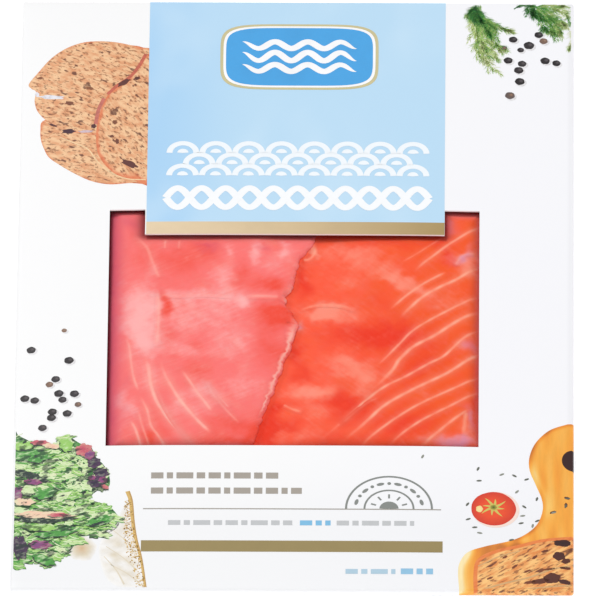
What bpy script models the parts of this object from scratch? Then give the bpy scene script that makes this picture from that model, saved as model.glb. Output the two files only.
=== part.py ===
"""Flat card wallet of smoked salmon, lying on its back.

The sleeve is one folded and glued card with a die-cut window, and a tab hangs from the
window's top edge. Its front is crowned over what it holds: a sealed pouch, drawn as the
sheet below the fish, and two slices of salmon, the left one lying over the right one.

Axes: +X to the right, +Y towards the printed top, +Z out of the front. Units are metres.
"""

import bmesh
import bpy
import numpy as np

COLLECTION_NAME = "smoked_salmon_pack"

# Sleeve: outer sizes, card thickness and the rounding of its folds
WIDTH = 0.147
LENGTH = 0.214
EDGE_HEIGHT = 0.0026
CROWN_RISE = 0.0022
CROWN_POWER = 4.0
CARD = 0.0004
FOLD_RADIUS = 0.0008
FOLD_SEGMENTS = 2
SLEEVE_CELL = 0.0105

# Window in the front, and the tab of card that hangs into it
WINDOW_LEFT = -0.0491
WINDOW_RIGHT = 0.0485
WINDOW_BOTTOM = -0.0571
WINDOW_TOP = 0.0282
TAB_LEFT = -0.0397
TAB_RIGHT = 0.0393
TAB_BOTTOM = 0.0192

# Clearance between one piece and the next
GAP = 0.0003

# Pouch
POUCH_WIDTH = 0.137
POUCH_LENGTH = 0.203
POUCH_THICKNESS = 0.0004
POUCH_CORNER = 0.005
POUCH_SEGMENTS = 5
POUCH_BASE = CARD + GAP

# Slices: outline, and the height that they lie at
SLICE_HALF_WIDTH = 0.062
SLICE_HALF_LENGTH = 0.086
SLICE_BASE = POUCH_BASE + POUCH_THICKNESS + GAP
SLICE_ROWS = 36
LEFT_COLUMNS = 14
RIGHT_COLUMNS = 16
EDGE_WAVE = 0.0012
CORNER_INSET = 0.010
RIM_THICKNESS = 0.0012
RIM_ROUNDING = 0.007
FILM_ROOM = 0.0001

# Seam where the left slice ends on top of the right one, as height Y and place X
SEAM_Y = (-0.0860, -0.0550, -0.0465, -0.0312, -0.0214, -0.0121, -0.0045, 0.0012, 0.0121, 0.0182, 0.0860)
SEAM_X = (-0.0190, -0.0104, -0.0084, -0.0040, -0.0011, 0.0011, -0.0026, -0.0007, 0.0014, 0.0053, 0.0080)
UNDERLAP = 0.006
LIFT_START = 0.011
LIFT_END = 0.007
TONGUE_SHARE = 0.46
SEAM_RIM = 0.0003
SEAM_ROUNDING = 0.002
SEAM_SLOPE = 0.018
COLUMN_POWER = 2.0


def clear_scene():
    """Removes every object that the scene starts with."""
    for item in list(bpy.data.objects):
        bpy.data.objects.remove(item, do_unlink=True)


def make_material(name, colour, roughness, alpha=1.0):
    """Makes a Principled material of one colour."""
    material = bpy.data.materials.new(name)
    material.use_nodes = True
    shader = material.node_tree.nodes["Principled BSDF"]
    shader.inputs["Base Color"].default_value = (*colour, 1.0)
    shader.inputs["Roughness"].default_value = roughness
    shader.inputs["Metallic"].default_value = 0.0
    shader.inputs["Alpha"].default_value = alpha
    return material


def make_object(name, shape, material, collection):
    """Turns a bmesh into a named object with its material."""
    mesh = bpy.data.meshes.new(name)
    shape.to_mesh(mesh)
    shape.free()
    mesh.materials.append(material)
    item = bpy.data.objects.new(name, mesh)
    collection.objects.link(item)
    return item


def crown(x, y):
    """Share of the full rise at a point: 1 in the middle of the front and 0 at its folds."""
    across = 1.0 - abs(2.0 * x / WIDTH) ** CROWN_POWER
    along = 1.0 - abs(2.0 * y / LENGTH) ** CROWN_POWER
    return max(across, 0.0) * max(along, 0.0)


def front_height(x, y):
    """Height of the outside of the front card."""
    return EDGE_HEIGHT + CROWN_RISE * crown(x, y)


def smooth_step(value):
    """Eases from 0 to 1 as the value does."""
    share = min(max(value, 0.0), 1.0)
    return share * share * (3.0 - 2.0 * share)


def cut_places(size, edges):
    """Places of the cuts across a size: even ones, and one at each edge of the window."""
    count = round(size / SLEEVE_CELL)
    even = [size * (index / count - 0.5) for index in range(1, count)]
    apart = [place for place in even if min(abs(place - edge) for edge in edges) > SLEEVE_CELL / 3.0]
    return sorted(apart + list(edges))


def cut_across(shell, axis, places):
    """Cuts the shell by planes that stand across one axis."""
    for place in places:
        point = [0.0, 0.0, 0.0]
        normal = [0.0, 0.0, 0.0]
        point[axis] = place
        normal[axis] = 1.0
        geometry = shell.verts[:] + shell.edges[:] + shell.faces[:]
        bmesh.ops.bisect_plane(shell, geom=geometry, dist=1e-7, plane_co=point, plane_no=normal)


def in_window(centre):
    """Tells if a point of the front lies in the window and off its tab."""
    if not (WINDOW_LEFT < centre.x < WINDOW_RIGHT and WINDOW_BOTTOM < centre.y < WINDOW_TOP):
        return False
    return not (TAB_LEFT < centre.x < TAB_RIGHT and centre.y > TAB_BOTTOM)


def make_sleeve(collection):
    """Folded card: a box cut open at the window, crowned, and thickened inwards."""
    shell = bmesh.new()
    bmesh.ops.create_cube(shell, size=1.0)
    bmesh.ops.scale(shell, vec=(WIDTH, LENGTH, EDGE_HEIGHT), verts=shell.verts)
    bmesh.ops.translate(shell, vec=(0.0, 0.0, EDGE_HEIGHT / 2.0), verts=shell.verts)
    cut_across(shell, 0, cut_places(WIDTH, (WINDOW_LEFT, TAB_LEFT, TAB_RIGHT, WINDOW_RIGHT)))
    cut_across(shell, 1, cut_places(LENGTH, (WINDOW_BOTTOM, TAB_BOTTOM, WINDOW_TOP)))

    folds = [edge for edge in shell.edges if edge.calc_face_angle(0.0) > 1.0]
    bmesh.ops.bevel(
        shell, geom=folds, offset=FOLD_RADIUS, segments=FOLD_SEGMENTS, profile=0.5, affect="EDGES"
    )
    opening = [
        face
        for face in shell.faces
        if face.normal.z > 0.5 and in_window(face.calc_center_median())
    ]
    bmesh.ops.delete(shell, geom=opening, context="FACES")
    for vertex in shell.verts:
        if vertex.co.z > EDGE_HEIGHT / 2.0:
            vertex.co.z += CROWN_RISE * crown(vertex.co.x, vertex.co.y)

    white = make_material("white_card", (0.90, 0.90, 0.92), 0.42)
    sleeve = make_object("sleeve", shell, white, collection)
    wall = sleeve.modifiers.new("card", "SOLIDIFY")
    wall.thickness = CARD
    wall.offset = -1.0
    wall.use_even_offset = True
    return sleeve


def make_pouch(collection):
    """Sealed pouch below the fish: a flat sheet with rounded corners."""
    sheet = bmesh.new()
    bmesh.ops.create_cube(sheet, size=1.0)
    bmesh.ops.scale(sheet, vec=(POUCH_WIDTH, POUCH_LENGTH, POUCH_THICKNESS), verts=sheet.verts)
    bmesh.ops.translate(sheet, vec=(0.0, 0.0, POUCH_BASE + POUCH_THICKNESS / 2.0), verts=sheet.verts)
    corners = [
        edge
        for edge in sheet.edges
        if abs(edge.verts[0].co.z - edge.verts[1].co.z) > POUCH_THICKNESS / 2.0
    ]
    bmesh.ops.bevel(
        sheet, geom=corners, offset=POUCH_CORNER, segments=POUCH_SEGMENTS, profile=0.5, affect="EDGES"
    )
    film = make_material("clear_film", (0.85, 0.86, 0.88), 0.12, 0.35)
    return make_object("pouch", sheet, film, collection)


def seam(y):
    """Place across the pack of the left slice's free edge."""
    return float(np.interp(y, SEAM_Y, SEAM_X))


def side_reach(y, phase):
    """Half width of the fish at a height: rounded corners and a gentle wave."""
    along = abs(y) / SLICE_HALF_LENGTH
    wave = EDGE_WAVE * (np.sin(95.0 * y + phase) + 0.5 * np.sin(210.0 * y + 2.0 * phase))
    return SLICE_HALF_WIDTH - CORNER_INSET * along**8 + float(wave)


def highest_top(x, y):
    """Highest that a slice may reach below the front card and the film."""
    return front_height(x, y) - CARD - GAP - FILM_ROOM


def rim_share(distance, rounding):
    """Share of the thickness at a distance in from a slice's rim, as a quarter circle."""
    inward = min(max(distance / rounding, 0.0), 1.0)
    return (1.0 - (1.0 - inward) ** 2) ** 0.5


def outer_thickness(x, y, reach):
    """Thickness of the fish, falling to a thin rim at its sides and ends."""
    full = highest_top(x, y) - SLICE_BASE
    inward = min(reach - abs(x), SLICE_HALF_LENGTH - abs(y))
    return RIM_THICKNESS + (full - RIM_THICKNESS) * rim_share(inward, RIM_ROUNDING)


def left_slice_heights(x, y, reach):
    """Underside and top of the left slice, which is lifted where it lies on the right one."""
    distance = seam(y) - x
    full = outer_thickness(x, y, reach)
    top = SLICE_BASE + full
    raised = smooth_step((LIFT_START - distance) / (LIFT_START - LIFT_END))
    low = SLICE_BASE + (TONGUE_SHARE * full + GAP) * raised
    height = SEAM_RIM + (top - low - SEAM_RIM) * rim_share(distance, SEAM_ROUNDING)
    return low, low + height


def right_slice_heights(x, y, reach):
    """Underside and top of the right slice, which is thin where it runs below the left one."""
    distance = x - seam(y)
    full = outer_thickness(x, y, reach)
    thin = TONGUE_SHARE * full
    return SLICE_BASE, SLICE_BASE + thin + (full - thin) * smooth_step(distance / SEAM_SLOPE)


def make_slice(name, columns, span, heights, phase, colour, collection):
    """One slice: a grid given a thickness, then laid between its edges and heights.

    span gives the two ends of a row, and the share of the way from one to the other.
    """
    slab = bmesh.new()
    bmesh.ops.create_grid(slab, x_segments=columns, y_segments=SLICE_ROWS, size=0.5)
    raised = bmesh.ops.extrude_face_region(slab, geom=slab.faces[:])
    upper = {item for item in raised["geom"] if isinstance(item, bmesh.types.BMVert)}
    for vertex in slab.verts:
        y = 2.0 * SLICE_HALF_LENGTH * vertex.co.y
        reach = side_reach(y, phase)
        x = span(vertex.co.x + 0.5, y, reach)
        low, high = heights(x, y, reach)
        vertex.co = (x, y, high if vertex in upper else low)
    bmesh.ops.recalc_face_normals(slab, faces=slab.faces)
    flesh = make_material(name + "_flesh", colour, 0.35)
    item = make_object(name, slab, flesh, collection)
    item.data.shade_smooth()
    item.data.set_sharp_from_angle(angle=0.8)
    return item


def left_span(share, y, reach):
    """Place in a row of the left slice, closer together towards the seam."""
    return seam(y) - (seam(y) + reach) * (1.0 - share) ** COLUMN_POWER


def right_span(share, y, reach):
    """Place in a row of the right slice, closer together towards the seam."""
    start = seam(y) - UNDERLAP
    return start + (reach - start) * share**COLUMN_POWER


def main():
    """Builds the pack from the outside in."""
    clear_scene()
    collection = bpy.data.collections.new(COLLECTION_NAME)
    bpy.context.scene.collection.children.link(collection)
    make_sleeve(collection)
    make_pouch(collection)
    pink = (0.95, 0.24, 0.20)
    orange = (0.95, 0.12, 0.05)
    make_slice("slice_left", LEFT_COLUMNS, left_span, left_slice_heights, 0.6, pink, collection)
    make_slice("slice_right", RIGHT_COLUMNS, right_span, right_slice_heights, 2.1, orange, collection)


main()
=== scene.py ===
"""Looks of a pack of smoked salmon: a printed card wallet, a clear pouch and two slices.

Sizes in this script are millimetres, and Shape.finish turns them into metres. A card
place is (across, along) on the front of the pack, counted from the pack's middle, and
CardShell.place lays such places on the card, over its folds and down its walls.
"""

import logging
import math
from collections.abc import Callable, Sequence
from dataclasses import dataclass, field
from enum import Enum

import bmesh
import bpy
import numpy as np
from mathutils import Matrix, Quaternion, Vector

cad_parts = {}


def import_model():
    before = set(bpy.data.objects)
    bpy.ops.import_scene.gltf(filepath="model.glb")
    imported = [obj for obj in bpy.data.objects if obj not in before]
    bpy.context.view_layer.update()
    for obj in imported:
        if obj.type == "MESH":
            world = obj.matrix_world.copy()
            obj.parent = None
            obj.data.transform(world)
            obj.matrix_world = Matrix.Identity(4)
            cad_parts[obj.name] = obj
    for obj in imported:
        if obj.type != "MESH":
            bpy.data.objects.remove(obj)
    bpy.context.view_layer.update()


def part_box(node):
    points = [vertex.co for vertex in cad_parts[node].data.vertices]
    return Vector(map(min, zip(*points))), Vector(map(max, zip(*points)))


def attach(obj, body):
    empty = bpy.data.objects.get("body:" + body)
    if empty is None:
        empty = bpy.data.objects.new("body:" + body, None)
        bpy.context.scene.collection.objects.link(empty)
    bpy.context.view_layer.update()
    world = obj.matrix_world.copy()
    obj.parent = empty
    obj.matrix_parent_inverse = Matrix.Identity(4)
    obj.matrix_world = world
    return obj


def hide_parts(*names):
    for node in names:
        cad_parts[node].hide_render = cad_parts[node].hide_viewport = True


LOG = logging.getLogger("salmon_pack")
MM = 0.001
SEED = 2024
BODY = "root"
CARRIED = ("pale", "deep", "fat", "cool", "shade")

Array = np.ndarray
Piece = bpy.types.Object
Material = bpy.types.Material
Colour = tuple[int, int, int]
Route = tuple[tuple[float, float], ...]
Rows = tuple[tuple[float, ...], ...]


class Slot(Enum):
    """Material slots of the record."""

    CARD = "card"
    FILM = "film"
    PINK = "flesh_pink"
    ORANGE = "flesh_orange"


def tint(red: int, green: int, blue: int) -> tuple[float, ...]:
    """Turns a display colour of 0 to 255 into the linear colour that shaders take."""
    share = np.array([red, green, blue]) / 255
    linear = np.where(share <= 0.04045, share / 12.92, ((share + 0.055) / 1.055) ** 2.4)
    return (float(linear[0]), float(linear[1]), float(linear[2]), 1)


def ease(value: Array) -> Array:
    """Eases from 0 to 1: three times the square less twice the cube of the held value."""
    share = np.clip(value, 0, 1)
    return share * share * (3 - 2 * share)


def curve_through(points: Sequence[Sequence[float]], count: int) -> Array:
    """Smooth curve through a few points.

    Each stretch is the cubic that starts and ends on two points and runs there along the
    line between their neighbours.

    Args:
        points: places that the curve passes, in order.
        count: number of places returned.

    Returns:
        The places, count by the points' own dimension.
    """
    knots = np.asarray(points, float)
    padded = np.vstack([2 * knots[:1] - knots[1:2], knots, 2 * knots[-1:] - knots[-2:-1]])
    run = np.linspace(0, len(knots) - 1, count)
    start = np.minimum(run.astype(int), len(knots) - 2)
    share = (run - start)[:, None]
    before, first, second, after = (padded[start + step] for step in range(4))
    linear = second - before
    square = 2 * before - 5 * first + 4 * second - after
    cube = 3 * first - before - 3 * second + after
    return 0.5 * (2 * first + linear * share + square * share**2 + cube * share**3)


def joined(*parts: Array | float) -> Array:
    """Places from their coordinates, each one a number or a grid of numbers."""
    return np.stack(np.broadcast_arrays(*parts), axis=-1)


def polar(middle: Sequence[float], radius: Array | float, angle: Array) -> Array:
    """Places at a distance from a middle and at an angle in radians."""
    return joined(middle[0] + radius * np.cos(angle), middle[1] + radius * np.sin(angle))


def closed_through(points: Sequence[Sequence[float]], count: int) -> Array:
    """Smooth closed outline through a few points, with its last place equal to its first."""
    knots = list(points)
    wrapped = [knots[-1], *knots, knots[0], knots[1]]
    dense = curve_through(wrapped, (len(wrapped) - 1) * count + 1)
    return dense[count : count * (len(knots) + 1) + 1]


def ripple(across: Array, along: Array, length: float, seed: int) -> Array:
    """Gentle unevenness from about -1 to 1: the mean of seven sine waves in set directions.

    Args:
        across: places across.
        along: places along.
        length: rough wave length.
        seed: picks the waves.

    Returns:
        The unevenness at each place.
    """
    pick = np.random.default_rng(SEED + seed)
    waves = 7
    turn = pick.uniform(0, 2 * math.pi, waves)
    rate = 2 * math.pi / (length * pick.uniform(0.6, 1.7, waves))
    phase = pick.uniform(0, 2 * math.pi, waves)
    run = across[..., None] * np.cos(turn) + along[..., None] * np.sin(turn)
    return np.sin(run * rate + phase).mean(axis=-1) * math.sqrt(waves) * 0.7


def grid_lines(low: float, high: float, step: float, through: Sequence[float] = ()) -> Array:
    """Even lines about a step apart, the nearest ones moved onto given places."""
    lines = np.linspace(low, high, max(int(round((high - low) / step)), 1) + 1)
    for place in through:
        lines[np.argmin(np.abs(lines - place))] = place
    return lines


class Shape:
    """Grids of points that together become one mesh piece."""

    def __init__(self, *values: str) -> None:
        """Starts an empty shape with the names of the values that each point carries."""
        self.names = values
        self.points: list[Array] = []
        self.faces: list[Array] = []
        self.values: dict[str, list[Array]] = {name: [] for name in values}
        self.count = 0

    def add(self, points: Array, keep: Array | None = None, flip: bool = False,
            **values: Array | float) -> None:
        """Adds one grid, or a stack of grids of the same size.

        The corners of a face are the grid's neighbours: one place on in a row, then one
        row on. Seen from above it faces up where rows run along and places run across.

        Args:
            points: places, [grids by] rows by columns by three.
            keep: rows less one by columns less one, true for the faces that are made.
            flip: turns the faces over.
            values: a value for each point, or one for all, by name.
        """
        rows, columns = points.shape[-3:-1]
        grids = points.reshape(-1, rows, columns, 3)
        index = np.arange(grids.shape[0] * rows * columns).reshape(grids.shape[:3]) + self.count
        corners = [index[:, :-1, :-1], index[:, :-1, 1:], index[:, 1:, 1:], index[:, 1:, :-1]]
        quads = np.stack(corners, axis=-1)
        quads = quads[:, keep].reshape(-1, 4) if keep is not None else quads.reshape(-1, 4)
        self.faces.append(quads[:, ::-1] if flip else quads)
        self.points.append(grids.reshape(-1, 3))
        for name in self.names:
            given = np.broadcast_to(values.get(name, 0), grids.shape[:3])
            self.values[name].append(given.reshape(-1))
        self.count += grids.shape[0] * rows * columns

    def finish(self, name: str, material: Material, slot: Slot,
               weld: float = 0.001, sharp: float = 0.6) -> Piece:
        """Makes the mesh object, joins points that meet, and lets it ride on the pack.

        Args:
            name: the piece's name.
            material: its finish.
            slot: the record's slot that the finish stands for; not used.
            weld: distance under which points become one.
            sharp: angle above which an edge is shaded as a crease.

        Returns:
            The piece.
        """
        mesh = bpy.data.meshes.new(name)
        places = np.concatenate(self.points) * MM
        mesh.from_pydata(places.tolist(), [], np.concatenate(self.faces).tolist())
        for value, parts in self.values.items():
            layer = mesh.attributes.new(value, "FLOAT", "POINT")
            layer.data.foreach_set("value", np.concatenate(parts).astype(np.float32))
        work = bmesh.new()
        work.from_mesh(mesh)
        bmesh.ops.remove_doubles(work, verts=work.verts, dist=weld * MM)
        bmesh.ops.dissolve_degenerate(work, dist=0.1 * weld * MM, edges=work.edges)
        loose = [vertex for vertex in work.verts if not vertex.link_faces]
        bmesh.ops.delete(work, geom=loose, context="VERTS")
        work.to_mesh(mesh)
        work.free()
        mesh.shade_smooth()
        mesh.set_sharp_from_angle(angle=sharp)
        self.crease_rims(mesh)
        mesh.materials.append(material)
        piece = bpy.data.objects.new(name, mesh)
        bpy.context.scene.collection.objects.link(piece)
        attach(piece, BODY)
        return piece

    @staticmethod
    def crease_rims(mesh: bpy.types.Mesh) -> None:
        """Marks the edges that only one face has as creases, so that a cut edge stays crisp.

        Args:
            mesh: the piece's mesh.
        """
        edge_of = np.empty(len(mesh.loops), dtype=np.int32)
        mesh.loops.foreach_get("edge_index", edge_of)
        faces = np.bincount(edge_of, minlength=len(mesh.edges))
        flags = mesh.attributes.get("sharp_edge") or mesh.attributes.new("sharp_edge", "BOOLEAN", "EDGE")
        crease = np.empty(len(mesh.edges), dtype=bool)
        flags.data.foreach_get("value", crease)
        flags.data.foreach_set("value", crease | (faces == 1))


@dataclass(frozen=True)
class Wire:
    """An output of a node, on which arithmetic adds Math nodes."""

    graph: "Graph"
    socket: bpy.types.NodeSocket

    def _math(self, operation: str, *others: "Wire | float") -> "Wire":
        """Adds one Math node that starts from this wire."""
        return self.graph.maths(operation, self, *others)

    def __add__(self, other: "Wire | float") -> "Wire":
        """Sum."""
        return self._math("ADD", other)

    __radd__ = __add__

    def __mul__(self, other: "Wire | float") -> "Wire":
        """Product."""
        return self._math("MULTIPLY", other)

    __rmul__ = __mul__

    def __sub__(self, other: "Wire | float") -> "Wire":
        """Difference."""
        return self._math("SUBTRACT", other)

    def __rsub__(self, other: float) -> "Wire":
        """Difference from a number."""
        return self.graph.maths("SUBTRACT", other, self)

    def between(self, low: float, high: float) -> "Wire":
        """Eases from 0 to 1 as the value goes from low to high."""
        settings = {"interpolation_type": "SMOOTHSTEP"}
        sockets = {"Value": self, "From Min": low, "From Max": high}
        return self.graph.wire("MapRange", settings, sockets, "Result")


class Graph:
    """Node tree of one material, built with expressions."""

    def __init__(self, name: str) -> None:
        """Starts a material that has only its output.

        Args:
            name: the material's name.
        """
        self.material = bpy.data.materials.new(name)
        self.material.use_nodes = True
        self.tree = self.material.node_tree
        self.tree.nodes.clear()
        self.end = self.tree.nodes.new("ShaderNodeOutputMaterial")

    def node(self, kind: str, settings: dict[str, object], sockets: dict) -> bpy.types.Node:
        """Adds a node.

        Args:
            kind: the node's type, less the words shader node.
            settings: its options, set before its sockets are.
            sockets: a value or a wire for an input, by name or number.

        Returns:
            The node.
        """
        made = self.tree.nodes.new("ShaderNode" + kind)
        for name, value in settings.items():
            setattr(made, name, value)
        for name, value in sockets.items():
            if isinstance(value, Wire):
                self.tree.links.new(value.socket, made.inputs[name])
            else:
                made.inputs[name].default_value = value
        return made

    def wire(self, kind: str, settings: dict, sockets: dict, output: str | int) -> Wire:
        """Adds a node and returns one of its outputs."""
        return Wire(self, self.node(kind, settings, sockets).outputs[output])

    def maths(self, operation: str, *values: "Wire | float") -> Wire:
        """Adds one Math node."""
        sockets = dict(enumerate(values))
        return self.wire("Math", {"operation": operation}, sockets, "Value")

    def value(self, name: str) -> Wire:
        """Reads a value that the piece's points carry."""
        return self.wire("Attribute", {"attribute_name": name}, {}, "Fac")

    def place(self, stretch: Sequence[float] = (1, 1, 1), turn: float = 0) -> Wire:
        """Reads the place on the object, stretched and turned about Z, in metres."""
        source = self.wire("TexCoord", {}, {}, "Object")
        sockets = {"Vector": source, "Scale": stretch, "Rotation": (0, 0, turn)}
        return self.wire("Mapping", {"vector_type": "TEXTURE"}, sockets, "Vector")

    def axis(self, place: Wire, name: str) -> Wire:
        """Takes X, Y or Z of a place."""
        return self.wire("SeparateXYZ", {}, {"Vector": place}, name)

    def noise(self, place: Wire, size: float, detail: float = 3, rough: float = 0.55) -> Wire:
        """Cloudy noise from 0 to 1, with blots about a size in millimetres."""
        sockets = {"Vector": place, "Scale": 1 / (size * MM), "Detail": detail, "Roughness": rough}
        return self.wire("TexNoise", {}, sockets, "Fac")

    def blend(self, share: "Wire | float", first: "Wire | Colour", second: "Wire | Colour") -> Wire:
        """Mixes two colours."""
        first, second = (part if isinstance(part, Wire) else tint(*part) for part in (first, second))
        made = self.node("Mix", {"data_type": "RGBA"}, {0: share, 6: first, 7: second})
        return Wire(self, made.outputs[2])

    def ramp(self, share: Wire, stops: Sequence[tuple[float, Colour]]) -> Wire:
        """Runs through colours as the share goes from 0 to 1.

        Args:
            share: the value that picks the colour.
            stops: places from 0 to 1, each with its colour.

        Returns:
            The colour.
        """
        made = self.node("ValToRGB", {}, {"Fac": share})
        elements = made.color_ramp.elements
        while len(elements) < len(stops):
            elements.new(1)
        for element, (position, colour) in zip(elements, stops):
            element.position = position
            element.color = tint(*colour)
        return Wire(self, made.outputs["Color"])

    def bump(self, height: Wire, depth: float) -> Wire:
        """Turns a height from 0 to 1 into a normal, with the relief's depth in millimetres."""
        sockets = {"Height": height, "Distance": depth * MM, "Strength": 1}
        return self.wire("Bump", {}, sockets, "Normal")

    def principled(self, **sockets: object) -> Wire:
        """Adds a Principled shader: words in the names are joined by a low line."""
        named = {name.replace("_", " "): value for name, value in sockets.items()}
        return self.wire("BsdfPrincipled", {}, named, "BSDF")

    def close(self, shader: Wire) -> Material:
        """Links the last shader and returns the material."""
        self.tree.links.new(shader.socket, self.end.inputs["Surface"])
        return self.material

    def printed(self, colour: Wire, rough: "Wire | float", **sockets: object) -> Material:
        """Closes the material as card or print: a Principled shader with the shine of a thin varnish."""
        shader = self.principled(Base_Color=colour, Roughness=rough, Specular_IOR_Level=0.4, **sockets)
        return self.close(shader)


@dataclass(frozen=True)
class CardFinish:
    """White coated board: nearly even white and faint fibres, with painted shade: cool grey toward the
    right, greyer toward the end at -Y and on the right fold and wall.
    """

    name: str = "white_board"
    white: Colour = (250, 250, 250)
    # Colour of the painted shade toward the right.
    cool: Colour = (247, 247, 251)
    fibre: float = 0.9
    # Where the painted shade of the right fold and of the end at -Y begins, in metres.
    fold_shade_from: float = 0.0712
    foot_shade_from: float = -0.06

    def make(self) -> Material:
        """Builds the material."""
        graph = Graph(self.name)
        place = graph.place()
        across = graph.axis(place, "X")
        # Painted shade: cool grey toward the right, mixed with a faint random cloud.
        cast = across.between(-0.02, 0.06) * 0.8 + graph.noise(place, 40) * 0.3
        colour = graph.blend(cast, self.white, self.cool)
        # Painted shade: greyer toward the end at -Y.
        foot = graph.axis(place, "Y").between(self.foot_shade_from, self.foot_shade_from - 0.03) * 0.5
        colour = graph.blend(foot, colour, (238, 239, 242))
        # Painted shade: grey on the right fold and wall.
        fold = across.between(self.fold_shade_from, self.fold_shade_from + 0.0012) * 0.35
        colour = graph.blend(fold, colour, (232, 232, 236))
        fibres = graph.noise(graph.place((1, 2.6, 1)), self.fibre, 4)
        rough = graph.noise(place, 6) * 0.12 + 0.34
        return graph.printed(colour, rough, Normal=graph.bump(fibres, 0.012))


@dataclass(frozen=True)
class Ink:
    """Printed ink whose colour follows the value tone through a few colours.

    Attributes:
        name: the material's name.
        stops: colours along the tone.
        grain: size of the blots in the ink, in millimetres.
        depth: how far the blots darken it.
        rough: roughness of the varnish over it.
        metallic: metal share, for foil.
    """

    name: str
    stops: tuple[tuple[float, Colour], ...]
    grain: float = 2
    depth: float = 0.15
    rough: float = 0.38
    metallic: float = 0
    stretch: tuple[float, float, float] = (1, 1, 1)

    def make(self) -> Material:
        """Builds the material."""
        graph = Graph(self.name)
        place = graph.place(self.stretch)
        colour = graph.ramp(graph.value("tone"), self.stops)
        blots = graph.noise(place, self.grain, 5, 0.65).between(0.38, 0.72)
        colour = graph.blend(blots * self.depth, colour, (40, 30, 25))
        normal = graph.bump(graph.noise(place, 0.9), 0.008)
        return graph.printed(colour, self.rough, Metallic=self.metallic, Normal=normal)


@dataclass(frozen=True)
class SkyInk:
    """Pale blue ground of the panel, brighter to the right, with soft clouds."""

    name: str = "sky_ink"
    left: Colour = (170, 212, 246)
    right: Colour = (188, 222, 246)
    cloud: Colour = (204, 231, 250)

    def make(self) -> Material:
        """Builds the material."""
        graph = Graph(self.name)
        place = graph.place()
        base = graph.blend(graph.axis(place, "X").between(-0.042, -0.01), self.left, self.right)
        clouds = graph.noise(graph.place((1, 1.5, 1)), 26, 2).between(0.45, 0.75)
        colour = graph.blend(clouds * 0.55, base, self.cloud)
        return graph.printed(colour, 0.36, Normal=graph.bump(graph.noise(place, 0.9), 0.008))


@dataclass(frozen=True)
class CrumbInk:
    """Printed bread: crust at the rim, crumb inside it, fine specks and dark pores."""

    name: str
    crumb: Colour = (246, 200, 154)
    shade: Colour = (226, 158, 112)
    crust: Colour = (228, 122, 78)
    speck: Colour = (140, 84, 50)
    pore: Colour = (92, 46, 34)
    stretch: tuple[float, float, float] = (1.6, 0.9, 1)
    turn: float = -0.5
    rim_from: float = 0.93

    def make(self) -> Material:
        """Builds the material."""
        graph = Graph(self.name)
        place = graph.place(self.stretch, self.turn)
        colour = graph.blend(graph.noise(place, 1.6).between(0.35, 0.68), self.crumb, self.shade)
        specks = graph.noise(place, 0.75, 2).between(0.52, 0.64)
        colour = graph.blend(specks * 0.7, colour, self.speck)
        pores = graph.noise(place, 1.5, 1.5).between(0.62, 0.69)
        colour = graph.blend(pores * 0.75, colour, self.pore)
        rim = graph.value("tone") + (graph.noise(place, 3) - 0.45) * 0.22
        colour = graph.blend(rim.between(self.rim_from, self.rim_from + 0.1) * 0.85, colour, self.crust)
        return graph.printed(colour, 0.4)


@dataclass(frozen=True)
class LeafInk:
    """Printed leaves: a hue that follows the value tone, crumpled into darks and lights."""

    name: str
    stops: tuple[tuple[float, Colour], ...]
    dark: Colour = (22, 44, 38)
    light: Colour = (214, 236, 188)
    size: float = 2.2

    def make(self) -> Material:
        """Builds the material."""
        graph = Graph(self.name)
        place = graph.place((1.5, 0.8, 1), 0.3)
        tone = graph.value("tone")
        hue = tone + (graph.noise(place, self.size * 1.3) - 0.5) * 0.12
        colour = graph.ramp(hue, self.stops)
        folds = graph.noise(place, self.size * 1.1, 3, 0.6)
        fine = graph.noise(place, self.size * 0.55, 3, 0.6)
        lights = fine.between(0.5, 0.7) * (0.65 - tone.between(0.52, 0.66) * 0.4)
        colour = graph.blend(lights, colour, self.light)
        darks = (1 - folds.between(0.4, 0.47)) * 0.7 + (1 - fine.between(0.3, 0.42)) * 0.35
        colour = graph.blend(darks, colour, self.dark)
        return graph.printed(colour, 0.4)


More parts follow.
